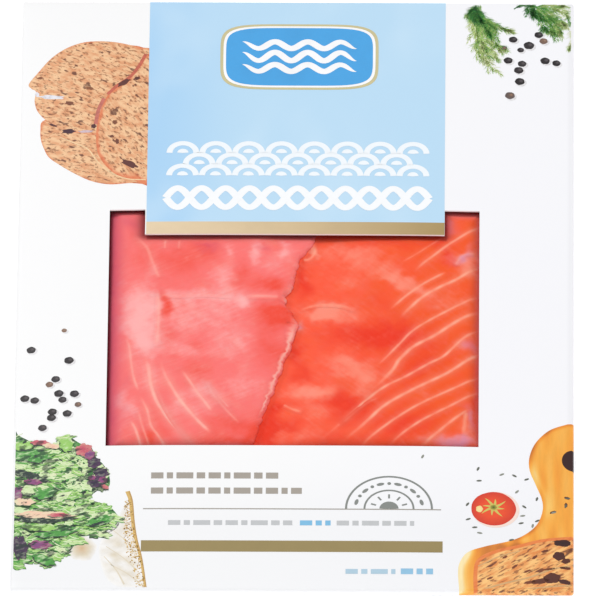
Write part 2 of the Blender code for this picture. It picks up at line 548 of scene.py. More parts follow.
@dataclass(frozen=True)
class FleshFinish:
    """Moist fish flesh: deep and pale parts, lines of fat, fine fibres and a violet cast.

    The points carry pale, deep, fat, cool and shade, each from 0 to 1. Pale is partly paler flesh and
    partly painted sheen of the film, cool is painted violet shade and painted sheen, and shade is painted
    shade.
    """

    name: str
    base: Colour
    deep: Colour
    pale: Colour
    fat: Colour
    # cool: colour of the painted violet shade and sheen; shade: colour of the painted shade.
    cool: Colour
    shade: Colour
    warm: Colour
    warm_from: float
    fibre_turn: float

    def make(self) -> Material:
        """Builds the material."""
        graph = Graph(self.name)
        place = graph.place()
        fibres = graph.noise(graph.place((7, 1, 1), self.fibre_turn), 0.9, 4, 0.6)
        mottle = graph.noise(place, 6.5, 3, 0.5)
        patches = graph.noise(graph.place((1, 1.3, 1), self.fibre_turn), 2.4, 3)
        warmth = graph.axis(place, "X").between(self.warm_from, self.warm_from + 0.03)
        colour = graph.blend(warmth + (mottle - 0.5) * 1.6, self.base, self.warm)
        colour = graph.blend(graph.value("deep") + (patches - 0.5) * 0.9, colour, self.deep)
        # Pale parts: partly paler flesh, partly painted sheen of the film.
        pale_and_sheen = graph.value("pale") + (mottle - 0.5) * 0.5 + (patches - 0.5) * 0.8 + (fibres - 0.5) * 0.5
        colour = graph.blend(pale_and_sheen.between(-0.1, 1.1), colour, self.pale)
        colour = graph.blend(graph.value("fat") * (fibres * 0.3 + 0.85), colour, self.fat)
        # Painted violet shade by the window's edges, and painted sheen on the film's folds.
        colour = graph.blend(graph.value("cool") * (patches * 0.6 + 0.7), colour, self.cool)
        # Painted shade along the window's edges.
        colour = graph.blend(graph.value("shade"), colour, self.shade)
        shader = graph.principled(
            Base_Color=colour, Roughness=0.42 + mottle * 0.12, Specular_IOR_Level=0.1,
            Subsurface_Weight=0.08, Subsurface_Radius=(0.9, 0.35, 0.2), Subsurface_Scale=0.001,
            Normal=graph.bump(fibres * 0.6 + patches * 0.4, 0.06),
        )
        return graph.close(shader)


@dataclass(frozen=True)
class FilmFinish:
    """Clear glossy film: see-through, with a skin that shines more where it is wrinkled."""

    name: str = "clear_film_skin"

    def make(self) -> Material:
        """Builds the material."""
        graph = Graph(self.name)
        place = graph.place()
        folds = graph.noise(graph.place((1, 3.2, 1), 0.35), 7, 4, 0.55)
        fine = graph.noise(graph.place((2.6, 1, 1), 0.2), 2.4, 3)
        normal = graph.bump(folds * 0.7 + fine * 0.3, 0.45)
        skin = graph.principled(
            Base_Color=tint(255, 250, 248), Roughness=0.2 + graph.noise(place, 9) * 0.12,
            Specular_IOR_Level=0.6, Normal=normal,
        )
        gloss = graph.wire("Fresnel", {}, {"IOR": 1.42, "Normal": normal}, "Fac")
        haze = graph.noise(place, 11, 4).between(0.55, 0.9) * 0.04 + 0.001
        clear = graph.wire("BsdfTransparent", {}, {}, "BSDF")
        made = graph.node("MixShader", {}, {0: gloss * 0.35 + haze, 1: clear, 2: skin})
        return graph.close(Wire(graph, made.outputs["Shader"]))


@dataclass(frozen=True)
class FloorFinish:
    """Plain pale floor."""

    name: str = "pale_floor"

    def make(self) -> Material:
        """Builds the material."""
        graph = Graph(self.name)
        cloud = graph.noise(graph.place(), 300, 2)
        colour = graph.blend(cloud, (252, 252, 252), (250, 250, 251))
        glow = {"Emission_Color": colour, "Emission_Strength": 0.3}
        return graph.close(graph.principled(Base_Color=colour, Roughness=0.85, **glow))


@dataclass(frozen=True)
class CardShell:
    """Outside of the card wallet, as a map from card places to points.

    The front rises from the folds to its middle as one less the fourth power of the share
    of the half width, times the same along. It lies a little inside the solid, so that
    the print on it stays inside the pack's box.
    """

    half_width: float
    half_length: float
    top: float
    edge: float
    fold: float = 0.8
    power: float = 4
    board: float = 0.4

    @classmethod
    def from_frame(cls) -> "CardShell":
        """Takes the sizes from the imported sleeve.

        Returns:
            The shell, a little smaller than the sleeve.
        """
        low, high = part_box("sleeve")
        room = 0.1
        edge_share = 2.6 / 4.8
        top = high.z / MM
        return cls(high.x / MM - room, high.y / MM - room, top - room, top * edge_share - room)

    def height(self, across: Array, along: Array) -> Array:
        """Height of the front card's outside."""
        share_x = 1 - np.abs(across / self.half_width) ** self.power
        share_y = 1 - np.abs(along / self.half_length) ** self.power
        rise = np.clip(share_x, 0, 1) * np.clip(share_y, 0, 1)
        return self.edge + (self.top - self.edge) * rise

    def place(self, across: Array, along: Array, lift: float | Array, low: float = 0.85) -> Array:
        """Lays card places on the outside.

        A place is held inside the fold lines. What reaches past them first turns round the
        fold by its length over the radius, up to a right angle, and then runs down the wall.

        Args:
            across: places across.
            along: places along.
            lift: distance off the card.
            low: lowest height that a wall is followed to.

        Returns:
            Points, with one more dimension of three.
        """
        radius = self.fold
        x = np.clip(across, radius - self.half_width, self.half_width - radius)
        y = np.clip(along, radius - self.half_length, self.half_length - radius)
        over_x = np.abs(across - x)
        over_y = np.abs(along - y)
        turn_x = np.minimum(over_x / radius, math.pi / 2)
        turn_y = np.minimum(over_y / radius, math.pi / 2)
        out_x = np.sign(across) * np.sin(turn_x)
        out_y = np.sign(along) * np.sin(turn_y)
        out = joined(out_x, out_y, np.cos(turn_x) * np.cos(turn_y))
        out /= np.linalg.norm(out, axis=-1, keepdims=True)
        points = joined(x, y, self.height(x, y) - radius)
        points = points + out * (radius + np.asarray(lift)[..., None])
        drop = np.maximum(over_x, over_y) - radius * math.pi / 2
        points[..., 2] = np.maximum(points[..., 2] - np.maximum(drop, 0), low)
        return points

    def reach(self) -> float:
        """Length past a fold line of what goes round the fold and down the wall."""
        return self.fold * math.pi / 2 + self.edge

    def past(self) -> Array:
        """Places past a fold line: four round the fold, and the wall's foot."""
        return np.append(np.linspace(0, self.fold * math.pi / 2, 5)[1:], self.reach())

    def flat(self) -> tuple[float, float]:
        """Half width and half length of the face between its fold lines."""
        return self.half_width - self.fold, self.half_length - self.fold


@dataclass(frozen=True)
class Window:
    """Die-cut window of the front and the tab of card that hangs into it."""

    left: float = -49.1
    right: float = 48.5
    low: float = -57.1
    high: float = 28.2
    tab_left: float = -39.7
    tab_right: float = 39.3
    tab_low: float = 19.2

    def holds(self, across: Array, along: Array) -> Array:
        """Tells which places lie in the window and off its tab."""
        inside = (across > self.left) & (across < self.right) & (along > self.low) & (along < self.high)
        tab = (across > self.tab_left) & (across < self.tab_right) & (along > self.tab_low)
        return inside & ~tab

    def columns(self) -> tuple[float, ...]:
        """Places across that its edges run along."""
        return (self.left, self.tab_left, self.tab_right, self.right)

    def rows(self) -> tuple[float, ...]:
        """Places along that its edges run across."""
        return (self.low, self.tab_low, self.high)


@dataclass
class Wallet:
    """The folded card: front with its window, walls, and a back with a glued lap."""

    card: CardShell
    window: Window
    step: float = 2.4
    fold_lines: int = 5
    lap_edge: float = 52
    lap: float = 0.1
    lap_slope: float = 0.15

    def lines(self, half: float, through: Sequence[float]) -> Array:
        """Grid lines over the face, round both folds and halfway down both walls.

        Args:
            half: half of the pack's size in this direction.
            through: lines that the grid has to have.

        Returns:
            The lines, measured round the card from its middle.
        """
        flat = half - self.card.fold
        face = grid_lines(-flat, flat, self.step, through)
        turn = np.linspace(0, self.card.fold * math.pi / 2, self.fold_lines)[1:] + flat
        end = np.array([flat + self.card.reach()])
        return np.concatenate([-end, -turn[::-1], face, turn, end])

    def build(self) -> Piece:
        """Builds the card with its thickness.

        The front is the shell's own map. The back is the same map of a flat pack turned
        over, and it meets the front halfway up the walls.
        """
        card = self.card
        columns = self.lines(card.half_width, self.window.columns())
        rows = self.lines(card.half_length, self.window.rows())
        across, along = np.meshgrid(columns, rows)
        middle = card.edge / 2
        shape = Shape()
        centre_x = (across[:-1, :-1] + across[1:, 1:]) / 2
        centre_y = (along[:-1, :-1] + along[1:, 1:]) / 2
        shape.add(card.place(across, along, 0, middle), keep=~self.window.holds(centre_x, centre_y))
        self.add_back(shape, rows, middle)
        piece = shape.finish("card_wallet", CardFinish().make(), Slot.CARD, sharp=0.7)
        wall = piece.modifiers.new("board", "SOLIDIFY")
        wall.thickness = card.board * MM
        wall.offset = -1
        wall.use_even_offset = True
        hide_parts("sleeve")
        return piece

    def add_back(self, shape: Shape, rows: Array, middle: float) -> None:
        """Adds the back: a flat face with folds, one side of it a lap's thickness higher.

        Args:
            shape: takes the faces.
            rows: grid lines along.
            middle: height at which the walls meet.
        """
        card = self.card
        edges = (self.lap_edge, self.lap_edge + self.lap_slope)
        columns = np.sort(np.append(self.lines(card.half_width, self.window.columns()), edges))
        flat = CardShell(card.half_width, card.half_length, card.edge, card.edge, card.fold)
        across, along = np.meshgrid(columns, rows)
        points = flat.place(across, along, 0, middle)
        points[..., 2] = card.edge - points[..., 2]
        on_face = (np.abs(across) < card.half_width - card.fold) & (points[..., 2] < middle)
        raised = on_face * ease((across - self.lap_edge) / self.lap_slope)
        points[..., 2] += self.lap * raised
        shape.add(points, flip=True)


@dataclass
class Print:
    """Base of the printed motifs: flat shapes laid on the card as one thin layer."""

    card: CardShell
    name: str
    lift: float
    shape: Shape = field(default_factory=lambda: Shape("tone"))
    past_fold: float = 3

    def lay(self, flat: Array, tone: Array | float | Callable[[Array], Array], lift: Array | float = 0,
            cut: bool = True) -> None:
        """Lays grids of card places on the card.

        Args:
            flat: places, [grids by] rows by columns by two.
            tone: the ink's tone at each place, or its rule.
            lift: further lift over the layer's own.
            cut: ends the shape at the fold lines, or lets it run over them. Of many grids,
                those that reach well past a fold line are left out.
        """
        lift = np.broadcast_to(lift, flat.shape[:-1])
        tone = np.broadcast_to(tone(flat) if callable(tone) else tone, flat.shape[:-1])
        if cut:
            limit = np.array(self.card.flat())
            if flat.ndim == 4:
                kept = (np.abs(flat) < limit + self.past_fold).all(axis=(1, 2, 3))
                flat, lift, tone = flat[kept], lift[kept], tone[kept]
            flat = np.clip(flat, -limit, limit)
        points = self.card.place(flat[..., 0], flat[..., 1], self.lift + lift)
        self.shape.add(points, tone=tone)

    def between(self, edge: Array, columns: int, tone: float | Callable[[Array], Array],
                foot: bool = False) -> None:
        """Lays the shape between an uneven left edge and the pack's right side, over its fold.

        Args:
            edge: the left edge's places, from the lowest up.
            columns: columns on this side of the fold line.
            tone: tone, or its rule.
            foot: lets the lowest row run on over the lower fold.
        """
        flat_x, flat_y = self.card.flat()
        if foot:
            below = -flat_y - self.card.past()[::-1]
            edge = np.concatenate([joined(edge[0, 0], below), edge])
        across = edge[:, :1] + np.linspace(0, 1, columns) * (flat_x - edge[:, :1])
        beyond = np.broadcast_to(flat_x + self.card.past(), (len(edge), len(self.card.past())))
        across = np.concatenate([across, beyond], axis=1)
        self.lay(joined(across, edge[:, 1:]), tone, cut=False)

    def field(self, left: float, right: float, low: float, high: float,
              tone: Callable[[Array], Array] | float = 0.5, step: float = 2.2) -> None:
        """Lays an even rectangle, with the tone as a number or as a rule of the places."""
        flat = joined(*np.meshgrid(grid_lines(left, right, step), grid_lines(low, high, step)))
        self.lay(flat, tone, cut=False)

    def blobs(self, places: Array, sizes: Array, turns: Array, tone: Array,
              wobble: float = 0, lobes: int = 5, rings: int = 3, sides: int = 18, rim: float = 0,
              lift: float = 0) -> None:
        """Lays rounded spots: a circle stretched, waved by a cosine, turned and moved.

        Args:
            places: middles, spots by two.
            sizes: half sizes, spots by two.
            turns: turns, one for each spot.
            tone: tone of each spot.
            wobble: height of the waves as a share of the size.
            lobes: waves round the rim.
            rings: rings of faces.
            sides: faces round the rim.
            rim: how much the tone changes from the middle to the rim.
            lift: further lift.
        """
        share = np.linspace(0, 1, rings + 1)[None, :, None]
        angle = np.linspace(2 * math.pi, 0, sides + 1)[None, None, :]
        phase = np.arange(len(places))[:, None, None] * 1.7
        waves = 1 + wobble * (np.cos(lobes * angle + phase) + 0.5 * np.cos((2 * lobes + 1) * angle - phase))
        local_x = share * waves * np.cos(angle) * sizes[:, 0, None, None]
        local_y = share * waves * np.sin(angle) * sizes[:, 1, None, None]
        cosine, sine = np.cos(turns)[:, None, None], np.sin(turns)[:, None, None]
        x = places[:, 0, None, None] + local_x * cosine - local_y * sine
        y = places[:, 1, None, None] + local_x * sine + local_y * cosine
        self.lay(joined(x, y), tone[:, None, None] + rim * share, lift)

    def marks(self, rows: Sequence[Sequence[float]], **looks: float) -> None:
        """Lays spots that are given as rows of middle, half sizes, turn and tone."""
        rows = np.array(rows)
        self.blobs(rows[:, :2], rows[:, 2:4], rows[:, 4], rows[:, 5], **looks)

    def outline(self, places: Sequence[Sequence[float]], tone: Callable | None = None,
                rings: int = 12, lift: float = 0) -> None:
        """Fills a closed outline: rings between the outline and its middle.

        Args:
            places: a few places of the outline, counter-clockwise.
            tone: rule of the place's share, from 0 in the middle to 1 at the rim, and of the place.
            rings: rings of faces.
            lift: further lift.
        """
        rim = closed_through(places, 12)
        middle = rim[:-1].mean(axis=0)
        share = np.linspace(0, 1, rings + 1)[:, None, None]
        flat = middle + share * (rim[None, ::-1] - middle)
        ring = np.broadcast_to(share[..., 0], flat.shape[:2])
        self.lay(flat, tone(ring, flat) if tone is not None else ring, lift)

    def ribbons(self, paths: Array, widths: Array | float, tone: Array | float,
                lift: float | Array = 0) -> None:
        """Lays strips along paths: each path's points moved to both sides by half the width.

        Args:
            paths: places, [strips by] points by two.
            widths: width, or the width at each point.
            tone: tone of each strip.
            lift: further lift.
        """
        paths = paths.reshape(-1, *paths.shape[-2:])
        widths = np.broadcast_to(widths, paths.shape[:2])
        along = np.gradient(paths, axis=1)
        along /= np.maximum(np.linalg.norm(along, axis=-1, keepdims=True), 1e-9)
        side = joined(along[..., 1], -along[..., 0])
        spread = np.array([-0.5, 0, 0.5])[None, None, :, None]
        flat = paths[:, :, None] + side[:, :, None] * spread * widths[:, :, None, None]
        tones = np.broadcast_to(np.reshape(tone, (-1, 1, 1)), flat.shape[:3])
        self.lay(flat, tones, np.broadcast_to(np.reshape(lift, (-1, 1, 1)), flat.shape[:3]))

    def arch(self, middle: Sequence[float], radius: float, width: float, tone: float = 0.5,
             count: int = 48) -> None:
        """Lays a strip along the upper half of a circle."""
        self.ribbons(polar(middle, radius, np.radians(np.linspace(0, 180, count))), width, tone)

    def press(self, ink: "Ink | SkyInk | CrumbInk | LeafInk") -> Piece:
        """Makes the layer's mesh with its ink."""
        return self.shape.finish(self.name, ink.make(), Slot.CARD, weld=0.0005, sharp=1.2)


@dataclass
class SkyPanel:
    """Blue field from the top edge down to the tab, with the gold bands below it."""

    card: CardShell
    left: float = -39.4
    right: float = 39.25
    low: float = 23.7
    band_low: float = 19.25
    bar_low: float = -94.1
    bar_high: float = -90.3

    def build(self) -> list[Piece]:
        """Builds the blue field, the tab's gold band and the lower gold bar."""
        sky = Print(self.card, "print_sky", 0.03)
        top = self.card.half_length - self.card.fold
        sky.field(self.left, self.right, self.low, top)
        sky.field(self.left, self.right, top, top + self.card.reach(), step=0.3)
        gold = Print(self.card, "print_gold", 0.03)

        def along_band(flat: Array) -> Array:
            """Tone that runs from the left end to the right end."""
            return (flat[..., 0] - self.left) / (self.right - self.left) * 0.8

        gold.field(self.left, self.right, self.band_low, self.low, along_band)
        gold.field(self.left, self.right, self.bar_low, self.bar_high, 1)
        stops = ((0, (236, 213, 178)), (0.35, (220, 195, 155)), (0.8, (176, 150, 98)), (1, (155, 137, 90)),)
        ink = Ink("gold_ink", stops, grain=9, depth=0.05, rough=0.34, metallic=0.15)
        return [sky.press(SkyInk()), gold.press(ink)]


@dataclass
class Ornament:
    """Plain ornament of the panel: a plaque with waves, a band of scales and a twisted band."""

    card: CardShell
    plaque_middle: tuple[float, float] = (0.5, 85.2)
    plaque_size: tuple[float, float] = (20, 11.6)
    scale_rows: int = 3
    scales: int = 8
    left: float = -34.4
    right: float = 35.2
    scale_low: float = 40.6
    twist_low: float = 27.6
    twist_high: float = 37.2

    def build(self) -> list[Piece]:
        """Builds the plaque and the two bands."""
        white = Print(self.card, "print_ornament", 0.06)
        self.add_scales(white)
        self.add_twist(white)
        ink = Ink("white_ink", ((0, (252, 253, 255)), (1, (236, 246, 254))), depth=0.02)
        return [self.build_plaque(), white.press(ink)]

    def rounded(self, grow: float, power: float = 5, count: int = 96) -> Array:
        """Closed plaque outline: a circle squared off by a power, with its sides straightened.

        Args:
            grow: added to both half sizes.
            power: squareness of the corners.
            count: steps round the outline.

        Returns:
            The outline's places.
        """
        angle = np.linspace(0, 2 * math.pi, count + 1)
        cosine = np.cos(angle)
        sine = np.sin(angle)
        size = (np.abs(cosine) ** power + np.abs(sine) ** power) ** (-1 / power)
        half_x = self.plaque_size[0] + grow
        half_y = self.plaque_size[1] + grow
        x = self.plaque_middle[0] + half_x * size * cosine
        y = self.plaque_middle[1] + half_y * size * sine
        return joined(x, y)

    def build_plaque(self) -> Piece:
        """Builds the plaque: a gold rim, a white line, a blue ground and three waves."""
        plaque = Print(self.card, "print_plaque", 0.05)
        middle = np.array(self.plaque_middle)
        share = np.linspace(0, 1, 9)[:, None, None]
        for grow, tone, lift in ((1, 0, 0), (0.2, 0.5, 0.012), (-0.5, 1, 0.024)):
            rim = self.rounded(grow)
            plaque.lay(middle + share * (rim[None, ::-1] - middle), tone, lift)
        run = np.linspace(-1, 1, 90)
        for level, height in ((4.4, 1.3), (0, 1.6), (-4.4, 1.3)):
            x = middle[0] + 15.2 * run
            y = middle[1] + level + height * np.sin(run * 3.5 * math.pi)
            width = 2 * (1 - np.abs(run) ** 6) + 0.05
            plaque.ribbons(joined(x, y), width, 0.5, 0.036)
        stops = (
            (0, (206, 196, 150)), (0.25, (206, 196, 150)), (0.5, (253, 253, 255)), (0.75, (112, 184, 232)),
            (1, (72, 166, 230)),
        )
        return plaque.press(Ink("plaque_ink", stops, grain=8, depth=0.06))

    def add_scales(self, white: Print) -> None:
        """Adds rows of scales: rings of half circles, each row set off by half a scale.

        Args:
            white: the layer that takes them.
        """
        pitch = (self.right - self.left) / self.scales
        for row in range(self.scale_rows):
            shift = 0.5 * (row % 2)
            for index in range(self.scales - row % 2):
                middle = (self.left + pitch * (index + 0.5 + shift), self.scale_low + 4.15 * row)
                white.arch(middle, pitch / 2 - 0.8, 1.6, count=20)
                white.arch(middle, 0.75, 1.5, count=12)

    def add_twist(self, white: Print) -> None:
        """Adds a twisted band: two sine waves that cross.

        Args:
            white: the layer that takes it.
        """
        run = np.linspace(self.left, self.right, 300)
        level = (self.twist_low + self.twist_high) / 2
        height = (self.twist_high - self.twist_low) / 2 - 1.3
        turns = 11
        phase = (run - self.left) / (self.right - self.left) * turns * math.pi
        for sign, lift in ((1, 0), (-1, 0.01)):
            white.ribbons(joined(run, level + sign * height * np.sin(phase)), 2.1, 0.1, lift)


@dataclass
class BreadPrint:
    """Printed slices of bread at the top left, which run in below the blue field."""

    card: CardShell

    def build(self) -> list[Piece]:
        """Builds three slices, from the lowest to the one in front, with their gaps and lit rims."""
        slices = (
            ("print_bread_low", (
                (-67.3, 61.8), (-67.9, 58.5), (-67.7, 54.8), (-66.8, 51.4), (-65.5, 48.3), (-62.5, 45.2),
                (-58.2, 41.6), (-54, 38.9), (-49.4, 37.6), (-44.4, 37.9), (-36, 38.9), (-36.2, 53.6),
                (-52.2, 61.4), (-62.8, 62.9),
            ), 0.95, -0.35),
            ("print_bread_back", (
                (-71.2, 75.8), (-70.5, 74), (-69.3, 72.8), (-69.6, 69.3), (-68.8, 65.6), (-66.7, 62.3),
                (-64.1, 59.7), (-60.6, 57.6), (-56.9, 56.7), (-52.1, 56.5), (-38.9, 64.8), (-36.5, 85.3),
                (-41.4, 88.8), (-44.3, 89.6), (-48.6, 90.8), (-53.1, 91.2), (-57.3, 90.7), (-61.7, 88.5),
                (-65.5, 84.9), (-68.6, 80.2),
            ), 0.96, -0.5),
            ("print_bread_front", (
                (-37.1, 89.1), (-39.5, 86.4), (-41.6, 82.2), (-44.1, 77.5), (-47.3, 74.3), (-50, 71),
                (-51.6, 66.6), (-52.7, 61.4), (-53.1, 55.1), (-52.5, 49.1), (-50.3, 44.3), (-46.8, 40.5),
                (-43.1, 38.9), (-36, 38.5), (-32.3, 64.8),
            ), 0.88, -0.9),
        )
        pieces = []
        for order, (name, places, rim, turn) in enumerate(slices):
            layer = Print(self.card, name, 0.008 + 0.009 * order)
            layer.outline(places, rings=16)
            pieces.append(layer.press(CrumbInk(name + "_ink", turn=turn, rim_from=rim)))
        marks = Print(self.card, "print_bread_marks", 0.038)
        spots = (
            (-60.4, 57.6, 1.7, 0.85, -0.05, 0), (-46, 75.3, 2, 0.8, 0.7, 0.2),
            (-42.5, 76.9, 0.9, 0.6, 0.4, 0.25), (-44.1, 45, 2.4, 1, -0.6, 0.2),
            (-60.3, 68, 1.2, 0.7, -0.3, 0.35), (-48.2, 60.5, 0.6, 0.8, 0.2, 0.35),
            (-47.5, 53.4, 0.5, 1, 0.1, 0.3), (-48.9, 55.3, 0.6, 0.5, 0, 0.3),
            (-53.8, 59.2, 0.7, 0.8, 0.2, 0.1), (-64.6, 60.1, 1.3, 0.35, -0.5, 0.15),
            (-55.8, 57.3, 1.9, 0.45, 0, 0.8), (-55, 73.4, 1.2, 0.5, -0.4, 0.45),
            (-68.2, 77.8, 0.6, 0.5, 0.4, 0.4), (-65.1, 70.5, 3.3, 0.75, -0.12, 1),
            (-68.9, 71.7, 0.5, 1, 0.2, 1),
        )
        marks.marks(spots, wobble=0.16)
        rims = (
            (((-62.7, 55.5), (-58.7, 53.1), (-55.2, 50.7), (-52.7, 46.2), (-49.5, 42.2), (-44.7, 39.5),
             (-39.7, 39.1)), 0.42, 0.9),
            (((-40.3, 86.1), (-42.1, 81.5), (-44.4, 77.5), (-47.6, 74.4), (-50.3, 71)), 0.9, 0.6),
            (((-51.2, 69.5), (-52.6, 65.1), (-53.3, 59.9)), 1, 0.62),
        )
        for route, width, tone in rims:
            marks.ribbons(curve_through(route, 40), width, tone, -0.004)
        stops = (
            (0, (70, 34, 50)), (0.25, (104, 54, 44)), (0.45, (150, 92, 58)), (0.6, (206, 104, 82)),
            (0.8, (214, 190, 200)), (0.9, (252, 214, 166)), (1, (238, 236, 244)),
        )
        pieces.append(marks.press(Ink("bread_mark_ink", stops, grain=1.2, depth=0.3)))
        return pieces


@dataclass
class Sprig:
    """One stem of dill: its route, how many branches it has, their length, and its tone."""

    route: Route
    branches: int
    length: float
    tone: float
    spread: float = 0.8


@dataclass
class DillPrint:
    """Printed dill at the top right."""

    card: CardShell
    needles: int = 16
    needle: float = 2
    sprigs: tuple[Sprig, ...] = (
        Sprig(((46, 103.7), (46.8, 95.9), (47.9, 89), (50, 84.4), (52.9, 79.6)), 26, 2.7, 0.66),
        Sprig(((47.3, 103), (48.7, 95.2), (50.5, 89), (53.5, 84.5)), 24, 2.8, 0.58),
        Sprig(((46.5, 103.8), (47.3, 96.7), (48.9, 90.5), (50.5, 86)), 22, 2.4, 0.5),
        Sprig(((48.1, 103), (50.5, 96), (52.9, 90.6), (54.5, 88.4)), 18, 2.4, 0.5),
        Sprig(((48.4, 102.2), (51, 98.7), (54, 96.8), (57.2, 95.4)), 16, 1.8, 0.5, 0.6),
        Sprig(((47.8, 104.6), (49.4, 99.9), (51.3, 95.6)), 22, 3, 0.28),
        Sprig(((48.9, 101.4), (50.2, 97.5), (51, 94.4)), 16, 2.4, 0.24),
        Sprig(((48.6, 106.1), (46.8, 103.4), (46, 100.6)), 16, 2.2, 0.3),
        Sprig(((47.3, 105.7), (47, 103), (47.8, 99.8)), 18, 2.3, 0.02),
        Sprig(((46.5, 104.1), (47.6, 101.4), (48.9, 99.1)), 14, 1.9, 0.04),
        Sprig(((63.3, 106.3), (68.6, 105.5), (73.4, 105.2)), 12, 1.3, 0.62, 0.5),
        Sprig(((62.7, 105.9), (67, 104.8), (71, 102.6), (73.1, 98.9)), 18, 2, 0.5),
        Sprig(((62.5, 105.9), (65.7, 103.2), (68.3, 99.5), (69.4, 95)), 24, 2.7, 0.42),
        Sprig(((63.3, 105.1), (66.2, 101.7), (67.5, 97.6), (67.5, 93.8)), 18, 2.1, 0.3),
        Sprig(((62.5, 104.7), (64.6, 100.9), (65.7, 96.8)), 16, 2, 0.16),
        Sprig(((61.7, 106.2), (61.9, 104.3), (62.7, 101.6)), 14, 2, 0),
        Sprig(((57.4, 104.3), (59.3, 105.8), (61.7, 105.5)), 7, 0.9, 0.1, 0.5),
        Sprig(((69.1, 100.3), (71.5, 97.7), (73.6, 95.9)), 9, 1.1, 0.6, 0.5),
        Sprig(((72.6, 97.8), (73.1, 94.4), (72.3, 90.3)), 13, 1.7, 0.78, 0.6),
    )

    def build(self) -> Piece:
        """Builds all stems, branches and needles as thin strips."""
        layer = Print(self.card, "print_dill", 0.02, past_fold=0.1)
        pick = np.random.default_rng(SEED + 5)
        for order, sprig in enumerate(self.sprigs):
            self.add_sprig(layer, sprig, pick, 0.0015 * order)
        stops = (
            (0, (24, 74, 34)), (0.25, (46, 142, 50)), (0.5, (128, 180, 80)), (0.72, (190, 212, 122)),
            (1, (224, 230, 176)),
        )
        return layer.press(Ink("dill_ink", stops, grain=1, depth=0.2))

    def add_sprig(self, layer: Print, sprig: Sprig, pick: np.random.Generator, lift: float) -> None:
        """Adds a stem, its branches, and the needles of each branch.

        Args:
            layer: the print that takes them.
            sprig: the stem.
            pick: source of the unevenness.
            lift: further lift.
        """
        stem = curve_through(sprig.route, 30)[None]
        layer.ribbons(stem, 0.36 - 0.24 * np.linspace(0, 1, 30), sprig.tone, lift)
        length = np.full(1, sprig.length)
        count = int(1.5 * sprig.branches)
        tone = np.full(1, sprig.tone)
        branches, tones = self.grow(stem, count, 1.8 * length, 1.2 * sprig.spread, tone, pick)
        layer.ribbons(branches, np.linspace(0.18, 0.06, branches.shape[1]), tones, lift + 0.001)
        length = np.full(len(branches), self.needle)
        needles, tones = self.grow(branches, self.needles, length, 0.95, tones, pick)
        layer.ribbons(needles, np.linspace(0.13, 0.03, needles.shape[1]), tones, lift + 0.002)

    @staticmethod
    def grow(stems: Array, count: int, length: Array, spread: float, tone: Array,
             pick: np.random.Generator) -> tuple[Array, Array]:
        """Grows side shoots on stems: to both sides in turn, shorter and closer to the tip.

        Args:
            stems: paths, stems by points by two.
            count: shoots on each stem.
            length: length of the shoots of each stem.
            spread: angle between a shoot and its stem.
            tone: tone of each stem.
            pick: source of the unevenness.

        Returns:
            The shoots' paths and their tones.
        """
        many, points = stems.shape[:2]
        at = np.sort(pick.uniform(0.04, 0.98, (many, count)), axis=1)
        spot = np.clip((at * (points - 1)).astype(int), 0, points - 2)
        row = np.arange(many)[:, None]
        base = stems[row, spot]
        run = stems[row, spot + 1] - base
        base = base + run * (at * (points - 1) - spot)[..., None]
        side = np.where(np.arange(count) % 2 == 0, 1, -1)[None]
        heading = np.arctan2(run[..., 1], run[..., 0])
        heading = heading + side * spread * pick.uniform(0.3, 1.2, (many, count))
        size = length[:, None] * pick.uniform(0.5, 1.15, (many, count)) * (1 - 0.45 * at)
        steps = np.linspace(0, 1, 5)
        bend = heading[..., None] - side[..., None] * 0.45 * steps
        shoots = polar((base[..., :1], base[..., 1:]), size[..., None] * steps, bend)
        tones = np.clip(tone[:, None] + pick.uniform(-0.16, 0.26, (many, count)), 0, 1)
        return shoots.reshape(-1, 5, 2), tones.reshape(-1)


